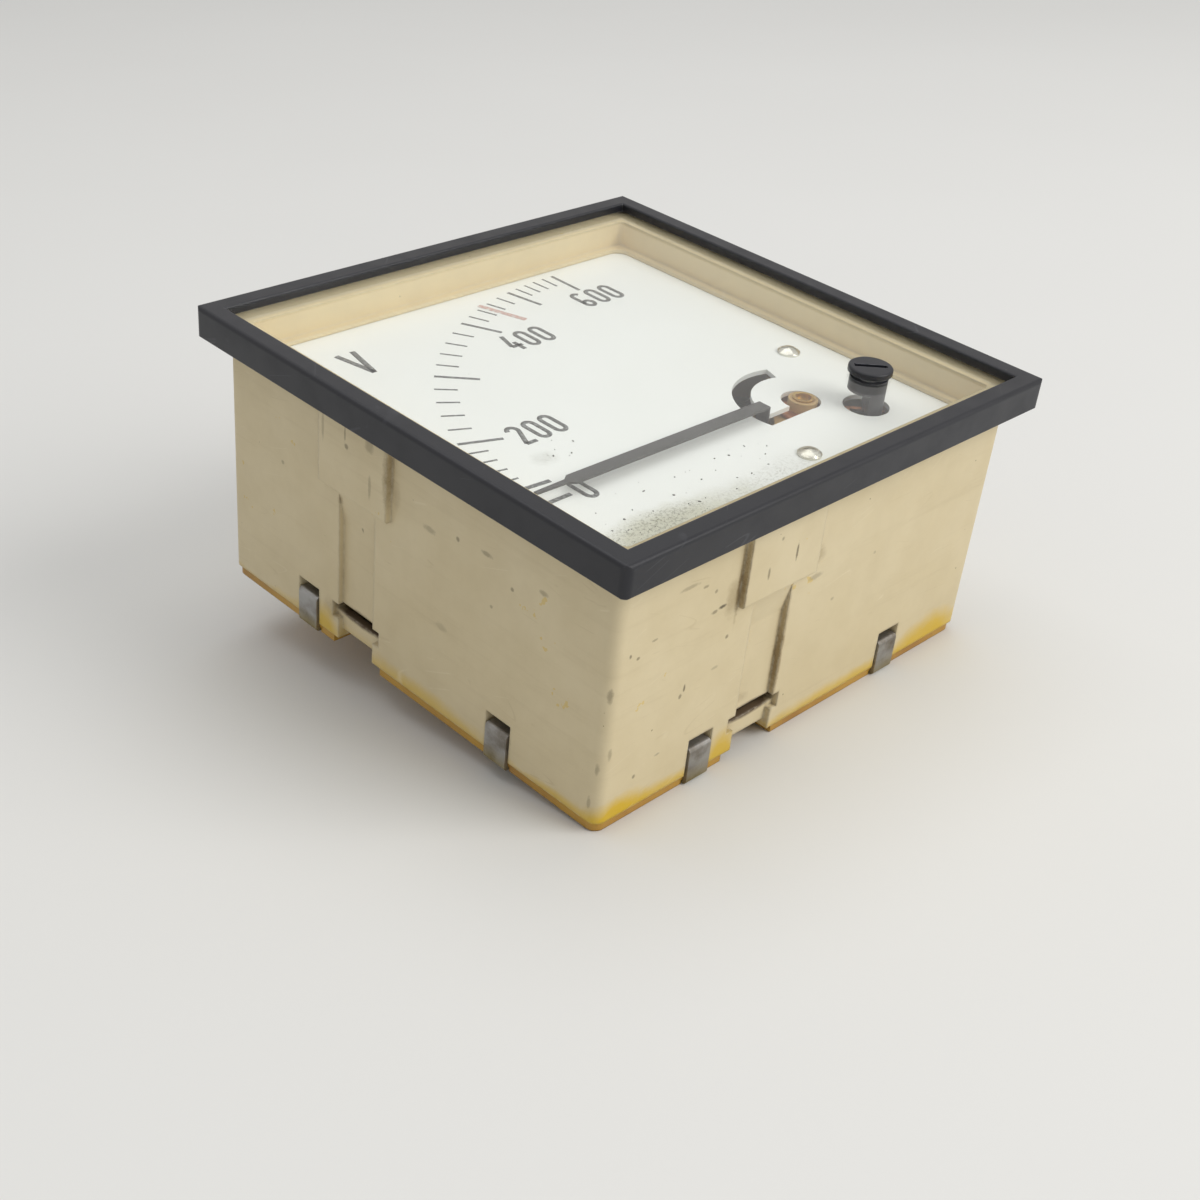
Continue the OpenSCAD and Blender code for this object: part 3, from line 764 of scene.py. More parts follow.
@dataclass(frozen=True)
class Clear(Finish):
    """Clear window pane that lets the lamps' light through to the dial."""

    def dress(self, kit: Coat) -> None:
        """Set plain glass sockets over a faint film of tint.

        Args:
            kit: The material's tree.
        """
        film = kit.use(kit.effects.patches, scale=40.0, cover=0.5, softness=0.3)
        kit.coat("Base Color", kit.mix(kit.times(film, 0.4), self.colour, (0.95, 0.95, 0.93)))
        kit.coat("Roughness", self.roughness)
        kit.coat("Transmission Weight", 1.0)
        kit.coat("IOR", 1.49)

    def surface(self, kit: Coat) -> Socket:
        """Glass to look at, and open to shadow rays and light scattered by the dial.

        Args:
            kit: The material's tree.

        Returns:
            The mixed shader.
        """
        passing = kit.add("BsdfTransparent", {"Color": (0.985, 0.99, 0.985)})
        rays = kit.add("LightPath")
        lighting = kit.math("MAXIMUM", rays.outputs["Is Shadow Ray"], rays.outputs["Is Diffuse Ray"])
        both = kit.add("MixShader", {0: lighting})
        kit.feed(both.inputs[1], kit.shader.outputs[0])
        kit.feed(both.inputs[2], passing.outputs[0])
        return both.outputs[0]


@dataclass(frozen=True)
class Floor(Finish):
    """Pale floor with the faintest unevenness."""

    def dress(self, kit: Coat) -> None:
        """Feed colour and roughness for the floor.

        Args:
            kit: The material's tree.
        """
        cloud = kit.noise(kit.place(), 6.0, 3.0)
        kit.coat(
            "Base Color",
            kit.mix(kit.spread(cloud, 0.35, 0.65, 0.0, 0.06), self.colour, (0.6, 0.59, 0.57)))
        kit.coat("Roughness", self.roughness)
        kit.coat("Specular IOR Level", 0.1)


LACQUER = srgb(208, 172, 30)
DIRT = srgb(122, 99, 60)
SOOT = srgb(98, 88, 68)
# Colour of the painted shade on the shadowed ledges inside the clamp slots.
SLOT_SHADE = srgb(74, 52, 34)


def housing_stains() -> tuple[Stain, ...]:
    """Lacquer along the foot, dirt beside the clamp pads, handling marks, and painted shade in the clamp
    slots, beside the pads' far sides and at a channel's upper corner.

    Returns:
        The stains, from the first laid to the last.
    """
    front, left = -44.4, -44.4
    lacquer = (
        ((-40.5, front, -42.6), (6.0, 3.0, 3.6), 0.95), ((-31.0, front, -42.4), (9.0, 2.0, 2.2), 0.6),
        ((-17.6, front, -42.8), (3.4, 2.0, 5.2), 0.85), ((8.5, front, -42.6), (17.0, 2.0, 2.4), 0.55),
        ((35.5, front, -42.8), (8.5, 2.0, 4.8), 0.85), ((23.0, front, -42.6), (8.0, 2.0, 2.6), 0.45),
        ((left, 19.2, -42.8), (2.0, 3.2, 4.6), 0.7), ((left, -8.0, -42.6), (2.0, 15.0, 2.8), 0.4),
        ((left, -38.0, -42.4), (2.0, 8.0, 1.6), 0.5),)
    dirt = (
        ((-19.4, front - 0.4, -8.2), (0.4, 1.2, 7.0), 0.75),
        ((-19.4, front - 0.2, -11.5), (0.5, 1.0, 3.0), 0.6),
        # Painted shade: the second patch on this line and the patch below darken the wall beside the far
        # side of the pad on the front face.
        ((-20.8, front, -12.2), (1.1, 0.5, 2.6), 0.4), ((-2.5, front, -9.0), (0.6, 1.0, 4.4), 0.55),
        ((-1.4, front, -11.8), (1.6, 0.5, 1.4), 0.4),
        ((-6.6, front + 0.5, -27.0), (0.5, 0.9, 12.5), 0.62),
        ((-6.6, front + 0.5, -29.3), (0.5, 0.9, 4.4), 0.75),
        ((left - 0.3, 3.0, -6.0), (1.4, 0.6, 4.6), 0.6), ((left, 1.6, -9.0), (0.5, 0.7, 2.2), 0.2),
        # Painted shade: both patches on this line darken the shaded upper corner of the clamp channel and
        # the wall beside the far side of the pad on the left face.
        ((left + 0.5, 15.2, -15.8), (0.8, 0.5, 0.9), 0.45), ((left, 19.6, -6.0), (0.6, 0.7, 2.6), 0.35),
        ((-15.6, front, -37.6), (1.6, 1.2, 0.9), 0.3), ((left, 17.0, -37.0), (1.2, 1.8, 1.5), 0.3),
        ((-14.0, front + 0.8, -33.4), (1.8, 0.6, 0.9), 0.3),)
    # Painted shade: dark patches on the shadowed ledges seen through the clamp slots.
    slot_shade = (
        ((-11.0, front + 2.0, -36.5), (7.0, 2.0, 1.5)), ((left + 2.0, 11.0, -36.5), (2.0, 7.0, 1.5)))
    marks = (
        ((-22.7, front, -12.6), (0.8, 0.4, 0.28), 0.95), ((-24.3, front, -12.9), (0.6, 0.4, 0.3), 0.6),
        ((-43.9, front + 0.3, -19.2), (0.4, 0.6, 1.2), 0.5),
        ((-43.0, front, -29.4), (0.3, 0.4, 0.9), 0.35), ((-41.2, front, -13.4), (0.25, 0.4, 0.3), 0.7),
        ((-39.6, front, -14.4), (0.3, 0.4, 0.25), 0.6), ((-36.6, front, -12.6), (0.5, 0.4, 0.2), 0.45),
        ((-28.7, front, -24.2), (0.22, 0.4, 0.55), 0.8), ((-29.4, front, -25.4), (0.3, 0.4, 0.4), 0.6),
        ((-30.4, front, -6.4), (1.8, 0.4, 0.3), 0.35), ((-27.0, front, -7.6), (0.5, 0.4, 0.25), 0.5),
        ((-24.6, front, -9.3), (0.3, 0.4, 0.3), 0.5), ((-37.4, front, -36.0), (0.3, 0.4, 0.35), 0.6),
        ((-32.8, front, -34.2), (0.5, 0.4, 0.2), 0.4), ((-20.6, front, -18.6), (0.3, 0.4, 0.3), 0.6),
        ((-22.4, front, -23.4), (0.7, 0.4, 0.25), 0.3),
        ((-14.6, front - 1.2, -9.6), (0.25, 0.5, 0.9), 0.6),
        ((-8.6, front - 1.2, -8.0), (0.22, 0.5, 1.4), 0.75),
        ((-12.6, front - 1.2, -4.4), (0.3, 0.5, 0.3), 0.5),
        ((-1.0, front, -15.8), (1.4, 0.4, 0.5), 0.35), ((4.6, front, -22.0), (0.4, 0.4, 0.3), 0.35),
        ((14.0, front, -17.0), (0.3, 0.4, 0.25), 0.3), ((left - 1.2, 12.6, -3.0), (0.5, 0.2, 1.2), 0.5),
        ((left - 1.2, 12.2, -5.0), (0.5, 0.4, 0.4), 0.6),
        ((left - 1.2, 6.8, -2.4), (0.5, 0.9, 1.2), 0.35),
        ((left - 1.2, 6.6, -9.4), (0.5, 0.3, 1.8), 0.35),
        ((left - 1.2, 18.0, -4.0), (0.5, 0.3, 2.2), 0.3),
        ((left + 0.5, 10.6, -19.6), (0.6, 0.25, 0.5), 0.9), ((left, -9.4, -26.2), (0.4, 1.2, 0.6), 0.2),
        ((left, -6.0, -11.0), (0.4, 1.2, 0.5), 0.35), ((left, -12.2, -9.6), (0.4, 0.35, 0.35), 0.6),
        ((left, -18.4, -9.0), (0.4, 1.0, 0.35), 0.45), ((left, -24.0, -12.0), (0.4, 0.3, 0.3), 0.55),
        ((left, -30.2, -9.4), (0.4, 0.8, 0.4), 0.4), ((left, -20.0, -17.0), (0.4, 0.3, 0.3), 0.4),
        ((left, -42.6, -38.4), (0.5, 0.3, 1.0), 0.35), ((left, -43.4, -32.0), (0.5, 0.3, 1.0), 0.4),
        ((left, 30.0, -16.0), (0.4, 0.35, 0.3), 0.4),)
    made = [Stain(c, h, DIRT, s, ragged=1.5, scale=620.0, soft=0.45, grit=0.25) for c, h, s in dirt]
    made += [Stain(c, h, SOOT, s, ragged=1.3, scale=1500.0, soft=0.35) for c, h, s in marks]
    made += [Stain(c, h, SLOT_SHADE, 0.9, ragged=0.3, scale=400.0, soft=0.15) for c, h in slot_shade]
    made += [Stain(c, h, LACQUER, s, ragged=0.7, scale=260.0, soft=0.35) for c, h, s in lacquer]
    return tuple(made)


def dial_stains() -> tuple[Stain, ...]:
    """Dust along the dial's lower edge and in its lower left corner.

    Returns:
        The stains, from the first laid to the last.
    """
    z = -3.6
    film, ash = srgb(206, 205, 184), srgb(128, 126, 104)
    return (
        Stain((-26.0, -36.0, z), (15.0, 4.0, 1.0), film, 0.85, ragged=1.2, scale=150.0, soft=0.5),
        Stain(
            (-29.0, -34.6, z), (9.0, 2.6, 1.0), ash, 0.8, ragged=1.6, scale=420.0, soft=0.7, grit=0.9),
        Stain(
            (-24.0, -33.4, z), (4.5, 1.4, 1.0), ash, 0.6, ragged=1.6, scale=520.0, soft=0.7, grit=0.85),
        Stain(
            (-12.0, -35.2, z), (9.0, 2.4, 1.0), ash, 0.35, ragged=1.6, scale=420.0, soft=0.7, grit=0.9),
        Stain((2.0, -34.0, z), (5.0, 2.4, 1.0), ash, 0.3, ragged=1.6, scale=420.0, soft=0.7, grit=0.9),
        Stain(
            (-27.0, -11.0, z), (1.8, 1.4, 1.0), ash, 0.4, ragged=1.4, scale=600.0, soft=0.6, grit=0.6),)


def finishes() -> tuple[Finish, ...]:
    """Every finish of the meter and of the floor it stands on.

    Returns:
        The finishes.
    """
    paper = (0.8, 0.82, 0.8)
    clip_foot = Stain(
        (0.0, 0.0, -45.0), (400.0, 400.0, 3.4), srgb(150, 132, 60), 0.55, ragged=0.5, scale=420.0,
        soft=0.4)
    return (
        # Black bezel: its light edge colour is partly rubbed wear and partly a painted edge highlight.
        Moulded(
            "black_moulding", srgb(33, 34, 39), 0.36, tint=srgb(37, 38, 44), wear=srgb(146, 148, 156),
            wear_strength=0.8, edge=0.22, specular=0.4, grain_depth=0.000012, speck=srgb(120, 118, 112),
            speck_share=0.05, speck_size=0.07, scratch=0.1),
        AgedHousing(
            "cream_moulding", srgb(214, 200, 166), 0.52, tint=srgb(207, 192, 156),
            wear=srgb(232, 222, 196), wear_strength=0.45, edge=0.7, grain_depth=0.000016,
            grain_fine=2600.0, speck=srgb(112, 96, 62), speck_share=0.09, speck_size=0.1,
            speck_scale=520.0, scratch=0.3, specular=0.4, inside=srgb(226, 207, 161),
            # dirt=DIRT here colours the painted shade in the housing's inner corners.
            streak=srgb(178, 160, 122), dirt=DIRT, lacquer=LACQUER, stains=housing_stains()),
        Moulded(
            "tan_moulding", srgb(190, 158, 104), 0.45, tint=srgb(176, 142, 88), wear=srgb(214, 190, 140)
        ),
        Moulded(
            "lid_board", srgb(186, 162, 118), 0.7, tint=srgb(170, 146, 100), wear=srgb(150, 124, 84)),
        Moulded(
            "brown_moulding", srgb(92, 72, 50), 0.5, tint=srgb(80, 62, 42), wear=srgb(130, 108, 80)),
        Moulded(
            "bobbin_moulding", srgb(206, 200, 182), 0.5, tint=srgb(196, 188, 168),
            wear=srgb(224, 220, 206)),
        Moulded(
            "resistor_ceramic", srgb(182, 176, 160), 0.35, tint=srgb(170, 164, 148),
            wear=srgb(210, 206, 196)),
        Moulded("lead_red", srgb(142, 46, 40), 0.55, tint=srgb(130, 40, 36), wear=srgb(160, 80, 70)),
        Moulded("lead_black", srgb(46, 50, 55), 0.55, tint=srgb(40, 44, 48), wear=srgb(80, 84, 88)),
        Moulded(
            "pointer_paint", srgb(70, 69, 68), 0.55, tint=srgb(61, 60, 59), wear=srgb(150, 148, 142),
            edge=0.1, wear_strength=0.35, grain_fine=4000.0, speck=srgb(176, 174, 168), speck_share=0.3,
            speck_size=0.13, speck_scale=1300.0),
        Laminate(
            "amber_laminate", srgb(170, 126, 58), 0.35, layer=srgb(112, 78, 38),
            varnish=srgb(198, 156, 52)),
        Metal(
            "clip_steel", srgb(172, 171, 170), 0.5, tarnish=srgb(128, 121, 110),
            brush=(60.0, 60.0, 1200.0), stains=(clip_foot,)),
        Metal("steel", srgb(178, 180, 184), 0.3, tarnish=srgb(128, 126, 122)),
        Metal("bright_screw", srgb(222, 220, 210), 0.2, tarnish=srgb(168, 160, 140), cover=0.36),
        Metal("turned_brass", srgb(206, 172, 98), 0.3, tarnish=srgb(140, 104, 56)),
        Metal("spring_bronze", srgb(190, 146, 84), 0.3, tarnish=srgb(130, 92, 50)),
        Metal("vane_sheet", srgb(206, 208, 210), 0.4, tarnish=srgb(160, 160, 160)),
        Metal("soft_iron", srgb(120, 122, 124), 0.5, tarnish=srgb(84, 76, 70)),
        Metal("lever_copper", srgb(206, 140, 96), 0.32, tarnish=srgb(150, 96, 64)),
        Winding("coil_wire", srgb(170, 96, 54), 0.35),
        Enamel("dial_paint", srgb(244, 246, 243), 0.42, dirt=srgb(120, 116, 96), stains=dial_stains()),
        Print("dial_ink", srgb(50, 52, 53), 0.5, paper=paper, fade=0.26),
        Print("index_red", srgb(190, 128, 112), 0.5, paper=paper, fade=0.75),
        Print("debris", srgb(46, 44, 40), 0.7, paper=srgb(104, 98, 84), fade=0.5),
        Clear("window_glass", (0.99, 1.0, 0.995), 0.0), Floor("pale_floor", srgb(224, 224, 222), 0.9),)


class FinishBook:
    """Every finish's material by name, each built once."""

    def __init__(self, effects: EffectLibrary) -> None:
        """Build the materials."""
        self.materials: dict[str, bpy.types.Material] = {f.name: f.build(effects) for f in finishes()}

    def __getitem__(self, name: str) -> bpy.types.Material:
        """The material of that name."""
        return self.materials[name]


# ------------------------------------------------------------ geometry nodes


class GeometryTree:
    """Short calls for building a geometry tree with named inputs."""

    def __init__(self, name: str, inputs: dict[str, tuple[str, float | None]]) -> None:
        """Open the tree.

        Args:
            name: The tree's name.
            inputs: Input names to their socket kind and default.
        """
        self.tree = bpy.data.node_groups.new(name, "GeometryNodeTree")
        face = self.tree.interface
        face.new_socket("Geometry", in_out="INPUT", socket_type="NodeSocketGeometry")
        self.keys: dict[str, str] = {}
        for label, (kind, value) in {**inputs, "Material": ("Material", None)}.items():
            socket = face.new_socket(label, in_out="INPUT", socket_type="NodeSocket" + kind)
            if value is not None:
                socket.default_value = value
            self.keys[label] = socket.identifier
        face.new_socket("Geometry", in_out="OUTPUT", socket_type="NodeSocketGeometry")
        self.given = self.tree.nodes.new("NodeGroupInput").outputs
        self.out = self.tree.nodes.new("NodeGroupOutput").inputs

    def add(self, kind: str, inputs: dict | None = None, **settings) -> Node:
        """Add a node of the full type name kind.

        Args:
            kind: The node's full type name.
            inputs: Socket name or index to a value or a socket.
            settings: Attributes set on the node.

        Returns:
            The new node.
        """
        node = self.tree.nodes.new(kind)
        for name, value in settings.items():
            setattr(node, name, value)
        for name, value in (inputs or {}).items():
            if isinstance(value, Socket):
                self.tree.links.new(value, node.inputs[name])
            else:
                node.inputs[name].default_value = value
        return node

    def random_vector(self, low: Point, high: Point) -> Socket:
        """A random vector for each instance, from the tree's seed.

        Args:
            low: The lowest components.
            high: The highest components.

        Returns:
            The random vector.
        """
        return self.add(
            "FunctionNodeRandomValue", {0: low, 1: high, "Seed": self.given["Seed"]},
            data_type="FLOAT_VECTOR").outputs[0]

    def close(self, geometry: Socket) -> None:
        """End in Realize Instances and Set Material.

        Args:
            geometry: What the tree has made.
        """
        real = self.add("GeometryNodeRealizeInstances", {"Geometry": geometry})
        painted = self.add(
            "GeometryNodeSetMaterial", {"Geometry": real.outputs[0], "Material": self.given["Material"]}
        )
        self.tree.links.new(painted.outputs[0], self.out["Geometry"])

    def bake(self, source: Object, name: str, values: dict) -> Object:
        """Run the tree on a source object and keep the result as a plain mesh.

        Args:
            source: The object that the tree works on; it is removed.
            name: The new object's name.
            values: Input names to their values.

        Returns:
            The plain mesh object at the origin.
        """
        modifier = source.modifiers.new(self.tree.name, "NODES")
        modifier.node_group = self.tree
        for label, value in values.items():
            modifier[self.keys[label]] = value
        bpy.context.view_layer.update()
        ready = source.evaluated_get(bpy.context.evaluated_depsgraph_get())
        mesh = bpy.data.meshes.new_from_object(ready)
        mesh.name = name
        source.modifiers.remove(modifier)
        bpy.data.objects.remove(source)
        return add_object(name, mesh)


def stroke_tree() -> GeometryTree:
    """A flat printed stroke along every spline of a curve.

    Returns:
        The tree.
    """
    kit = GeometryTree("printed_stroke", {"Width": ("Float", 0.0006), "Thickness": ("Float", 0.00004)})
    level = kit.add("GeometryNodeSetCurveNormal", {"Curve": kit.given["Geometry"]})
    level.mode = "Z_UP"
    profile = kit.add(
        "GeometryNodeCurvePrimitiveQuadrilateral",
        {"Width": kit.given["Width"], "Height": kit.given["Thickness"]})
    swept = kit.add(
        "GeometryNodeCurveToMesh",
        {"Curve": level.outputs[0], "Profile Curve": profile.outputs[0], "Fill Caps": True})
    kit.close(swept.outputs[0])
    return kit


def crumb_tree(spread: bool) -> GeometryTree:
    """Small flat crumbs, scattered over a sheet or one at each point.

    Args:
        spread: Whether they are scattered.

    Returns:
        The tree.
    """
    kit = GeometryTree(
        "scattered_crumbs" if spread else "placed_crumbs",
        {"Density": ("Float", 100.0), "Size": ("Float", 0.0002), "Seed": ("Int", 1)})
    points = kit.given["Geometry"]
    if spread:
        points = kit.add(
            "GeometryNodeDistributePointsOnFaces",
            {"Mesh": points, "Density": kit.given["Density"], "Seed": kit.given["Seed"]}).outputs[0]
    crumb = kit.add("GeometryNodeMeshIcoSphere", {"Radius": kit.given["Size"], "Subdivisions": 1})
    placed = kit.add(
        "GeometryNodeInstanceOnPoints",
        {
            "Points": points, "Instance": crumb.outputs[0],
            "Rotation": kit.random_vector((0.0, 0.0, 0.0), (0.3, 0.3, 6.28)),
            "Scale": kit.random_vector((0.5, 0.35, 0.3), (1.6, 1.0, 0.5))})
    kit.close(placed.outputs[0])
    return kit


def thread_tree() -> GeometryTree:
    """A screw thread: a triangular ridge swept along a helix, one at each point.

    Returns:
        The tree.
    """
    kit = GeometryTree(
        "screw_thread",
        {
            "Root": ("Float", 0.0017), "Pitch": ("Float", 0.0007), "Turns": ("Float", 3.0),
            "Depth": ("Float", 0.0003)})
    height = kit.add(
        "ShaderNodeMath", {0: kit.given["Pitch"], 1: kit.given["Turns"]}, operation="MULTIPLY")
    helix = kit.add(
        "GeometryNodeCurveSpiral",
        {
            "Resolution": 40, "Rotations": kit.given["Turns"], "Start Radius": kit.given["Root"],
            "End Radius": kit.given["Root"], "Height": height.outputs[0]})
    upright = kit.add("GeometryNodeSetCurveNormal", {"Curve": helix.outputs[0]})
    upright.mode = "Z_UP"
    ridge = kit.add("GeometryNodeCurvePrimitiveCircle", {"Resolution": 3, "Radius": kit.given["Depth"]})
    swept = kit.add(
        "GeometryNodeCurveToMesh",
        {"Curve": upright.outputs[0], "Profile Curve": ridge.outputs[0], "Fill Caps": True})
    on_studs = kit.add(
        "GeometryNodeInstanceOnPoints", {"Points": kit.given["Geometry"], "Instance": swept.outputs[0]})
    kit.close(on_studs.outputs[0])
    return kit


# ------------------------------------------------------------ sub-assemblies


@dataclass
class SubAssembly:
    """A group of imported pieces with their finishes, and the pieces added to them."""

    finishes: ClassVar[Finishes] = {}

    def dress(self, book: FinishBook) -> int:
        """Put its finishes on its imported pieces.

        Args:
            book: The finishes.

        Returns:
            The number of pieces dressed.
        """
        count = 0
        for finish, nodes in self.finishes.items():
            for node in nodes:
                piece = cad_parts[node]
                piece.data.materials.clear()
                piece.data.materials.append(book[finish])
                count += 1
        return count

    def build(self, book: FinishBook) -> list[Object]:
        """Make the pieces that it adds; none unless a kind of sub-assembly says otherwise."""
        return []

    @staticmethod
    def keep(piece: Object, slot: str, body: Body = Body.CASE) -> Object:
        """Let a new piece ride on a body.

        Args:
            piece: The new piece.
            slot: Not used.
            body: The body that it rides on.

        Returns:
            The piece.
        """
        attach(piece, body.value)
        return piece


@dataclass
class Front(SubAssembly):
    """Bezel and window."""

    finishes: ClassVar[Finishes] = {"black_moulding": ("bezel",), "window_glass": ("window_pane",)}


@dataclass
class Case(SubAssembly):
    """Housing with its rear plate and the clips that hold it."""

    finishes: ClassVar[Finishes] = {
        "cream_moulding": ("housing",), "amber_laminate": ("base_plate",),
        "clip_steel": ("clips_left", "clips_right", "clips_top", "clips_bottom")}


@dataclass
class Lettering:
    """Numerals and unit sign as strokes; sizes in millimetres."""

    height: float = 6.0
    digit_w: float = 2.4
    pitch: float = 3.4
    stroke: float = 0.78
    thick: float = 0.05

    def glyph(self, sign: str) -> list[list[Flat]]:
        """The strokes of one numeral.

        Args:
            sign: The numeral.

        Returns:
            Polylines from the numeral's lower left corner.
        """
        half = self.digit_w / 2 - self.stroke / 2 + 0.1
        mid, low, top = self.digit_w / 2, self.stroke / 2, self.height - self.stroke / 2
        bend = half * 1.15
        if sign == "0":
            ring = self.bow(mid, top - bend, half, bend, 0, 180) + self.bow(
                mid, low + bend, half, bend, 180, 360)
            return [ring + ring[:1]]
        if sign == "2":
            crown = self.bow(mid, top - bend, half, bend, 170, -35)
            return [crown + [(mid - half, low)], [(mid - half - 0.1, low), (mid + half + 0.2, low)]]
        if sign == "4":
            bar = low + 1.35
            return [
                [(mid + 0.1, top + 0.2), (mid - half - 0.1, bar)],
                [(mid - half - 0.15, bar), (mid + half + 0.3, bar)],
                [(mid + half * 0.45, bar + 1.3), (mid + half * 0.45, low - 0.25)]]
        bowl = self.bow(mid, low + bend, half, bend, 180, 540, 18)
        stem = [(mid - half, low + bend)] + self.bow(mid, top - bend, half, bend, 180, 35, 8)
        return [bowl, stem]

    @staticmethod
    def bow(
        x: float, y: float, rx: float, ry: float, start: float, end: float, steps: int = 10
    ) -> list[Flat]:
        """Points on an arc of an ellipse.

        Args:
            x: The centre across.
            y: The centre upwards.
            rx: Half width.
            ry: Half height.
            start: First angle in degrees.
            end: Last angle in degrees.
            steps: Steps between them.

        Returns:
            The points in order.
        """
        turns = [math.radians(start + (end - start) * i / steps) for i in range(steps + 1)]
        return [(x + rx * math.cos(t), y + ry * math.sin(t)) for t in turns]

    def word(self, text: str, x: float, y: float) -> list[list[Flat]]:
        """The strokes of a number at a place on the dial.

        Args:
            text: The number.
            x: Its left side.
            y: Its foot.

        Returns:
            Polylines in millimetres.
        """
        return [
            [(x + i * self.pitch + px, y + py) for px, py in line] for i,
            sign in enumerate(text) for line in self.glyph(sign)]

    def curve(self, name: str, strokes: list[list[Flat]], z: float) -> Object:
        """A curve object holding strokes at a height in millimetres.

        Args:
            name: The curve's name.
            strokes: Its polylines.
            z: The height that it lies on.

        Returns:
            The curve object.
        """
        data = bpy.data.curves.new(name, "CURVE")
        data.dimensions = "3D"
        for points in strokes:
            spline = data.splines.new("POLY")
            spline.points.add(len(points) - 1)
            for target, (px, py) in zip(spline.points, points):
                target.co = (*metres((px, py, z + self.thick / 2)), 1.0)
        return add_object(name, data)


@dataclass(frozen=True)
class CrumbPatch:
    """An area of the dial where crumbs lie; sizes in millimetres."""

    low: Flat
    high: Flat
    per_cm2: float
    size: float
    seed: int


@dataclass
class Dial(SubAssembly):
    """Dial plate, its print, its screws, its numerals and the crumbs on it."""

    finishes: ClassVar[Finishes] = {
        "dial_paint": ("dial_plate",), "dial_ink": ("scale_marks",), "index_red": ("red_index",),
        "bright_screw": ("dial_screws",)}
    lettering: Lettering = field(default_factory=Lettering)
    numbers: tuple[tuple[str, float, float], ...] = (
        ("0", -29.9, -23.8), ("200", -26.4, -6.6), ("400", -5.4, 18.4), ("600", 17.4, 24.7))
    unit: tuple[tuple[Flat, Flat], ...] = (
        ((-31.5, 33.3), (-29.9, 25.4)), ((-28.3, 33.3), (-29.9, 25.4)))
    patches: tuple[CrumbPatch, ...] = (
        CrumbPatch((-36.0, -38.0), (-18.0, -33.0), 30.0, 0.1, 3),
        CrumbPatch((-34.0, -35.0), (4.0, -24.0), 5.0, 0.1, 8),
        CrumbPatch((-30.0, -14.0), (-16.0, -6.0), 5.0, 0.1, 5),
        CrumbPatch((-30.0, -4.0), (30.0, 30.0), 0.6, 0.09, 21),)
    crumbs: tuple[Flat, ...] = (
        (-19.8, -9.6), (-24.0, -10.0), (-25.5, -11.3), (-22.6, -12.2), (-6.0, -26.0), (-3.4, -26.6),
        (-19.3, -33.0), (-17.5, -33.5), (-7.6, -32.0), (-4.8, -32.4), (-0.5, -32.0), (-27.2, -29.4),
        (-19.2, -30.0), (-12.4, -29.2), (-30.0, -30.6), (-25.0, -31.4), (-15.2, -26.4), (1.6, -29.6),
        (-10.2, -34.2), (3.8, -28.0), (-31.6, -33.0), (-22.0, -26.6), (0.8, -26.0), (-33.6, -31.8),)

    fine_lift: float = 0.02
    large_lift: float = 0.04
    large_size: float = 0.2
    large_seed: int = 4

    def build(self, book: FinishBook) -> list[Object]:
        """Print the numerals and drop the crumbs.

        Args:
            book: The finishes.

        Returns:
            The added pieces.
        """
        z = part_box("dial_plate")[1].z / MM
        return self.print_numbers(book, z) + self.scatter(book, z)

    def print_numbers(self, book: FinishBook, z: float) -> list[Object]:
        """Make one piece for each number and one for the unit.

        Args:
            book: The finishes.
            z: The dial's face in millimetres.

        Returns:
            The printed pieces.
        """
        tree = stroke_tree()
        style = self.lettering
        jobs = [
            (f"numeral_{text}", style.word(text, x, y), Stroke.PLAIN) for text, x, y in self.numbers]
        jobs.append(("unit_sign", [list(line) for line in self.unit], Stroke.BOLD))
        return [
            self.keep(
                tree.bake(
                    style.curve(name + "_path", strokes, z), name,
                    {
                        "Width": style.stroke * weight.value * MM, "Thickness": style.thick * MM,
                        "Material": book["dial_ink"]}),
                "dial_ink") for name,
            strokes, weight in jobs]

    def scatter(self, book: FinishBook, z: float) -> list[Object]:
        """Drop crumbs over the patches and at the crumb places.

        Args:
            book: The finishes.
            z: The dial's face in millimetres.

        Returns:
            One piece for each patch and one for the placed crumbs.
        """
        tree = crumb_tree(spread=True)
        made = []
        for number, patch in enumerate(self.patches, 1):
            (x0, y0), (x1, y1) = patch.low, patch.high
            mesh = bpy.data.meshes.new("crumb_area")
            corners = [
                tuple(metres((x, y, z + self.fine_lift))) for x,
                y in ((x0, y0), (x1, y0), (x1, y1), (x0, y1))]
            mesh.from_pydata(corners, [], [(0, 1, 2, 3)])
            piece = tree.bake(
                add_object("crumb_area", mesh), f"dial_crumbs_{number}",
                {
                    "Density": patch.per_cm2 * PER_CM2, "Size": patch.size * MM, "Seed": patch.seed,
                    "Material": book["debris"]})
            made.append(self.keep(piece, "pointer_paint"))
        spots = bpy.data.meshes.new("crumb_spots")
        spots.from_pydata([tuple(metres((x, y, z + self.large_lift))) for x, y in self.crumbs], [], [])
        piece = crumb_tree(spread=False).bake(
            add_object("crumb_spots", spots), "dial_crumbs_large",
            {"Size": self.large_size * MM, "Seed": self.large_seed, "Material": book["debris"]})
        return made + [self.keep(piece, "pointer_paint")]


@dataclass
class PointerSystem(SubAssembly):
    """Everything that swings with the spindle."""

    finishes: ClassVar[Finishes] = {
        "pointer_paint": ("pointer",),
        "turned_brass": ("pointer_collet", "balance_weights", "iron_carrier"), "steel": ("spindle",),
        "spring_bronze": ("hairspring",), "vane_sheet": ("damping_vane",), "soft_iron": ("moving_iron",)
    }


@dataclass
class ZeroAdjuster(SubAssembly):
    """Adjuster screw, its sleeve and the lever that it works."""

    finishes: ClassVar[Finishes] = {
        "black_moulding": ("zero_adjuster", "adjuster_sleeve"), "lever_copper": ("zero_lever",)}


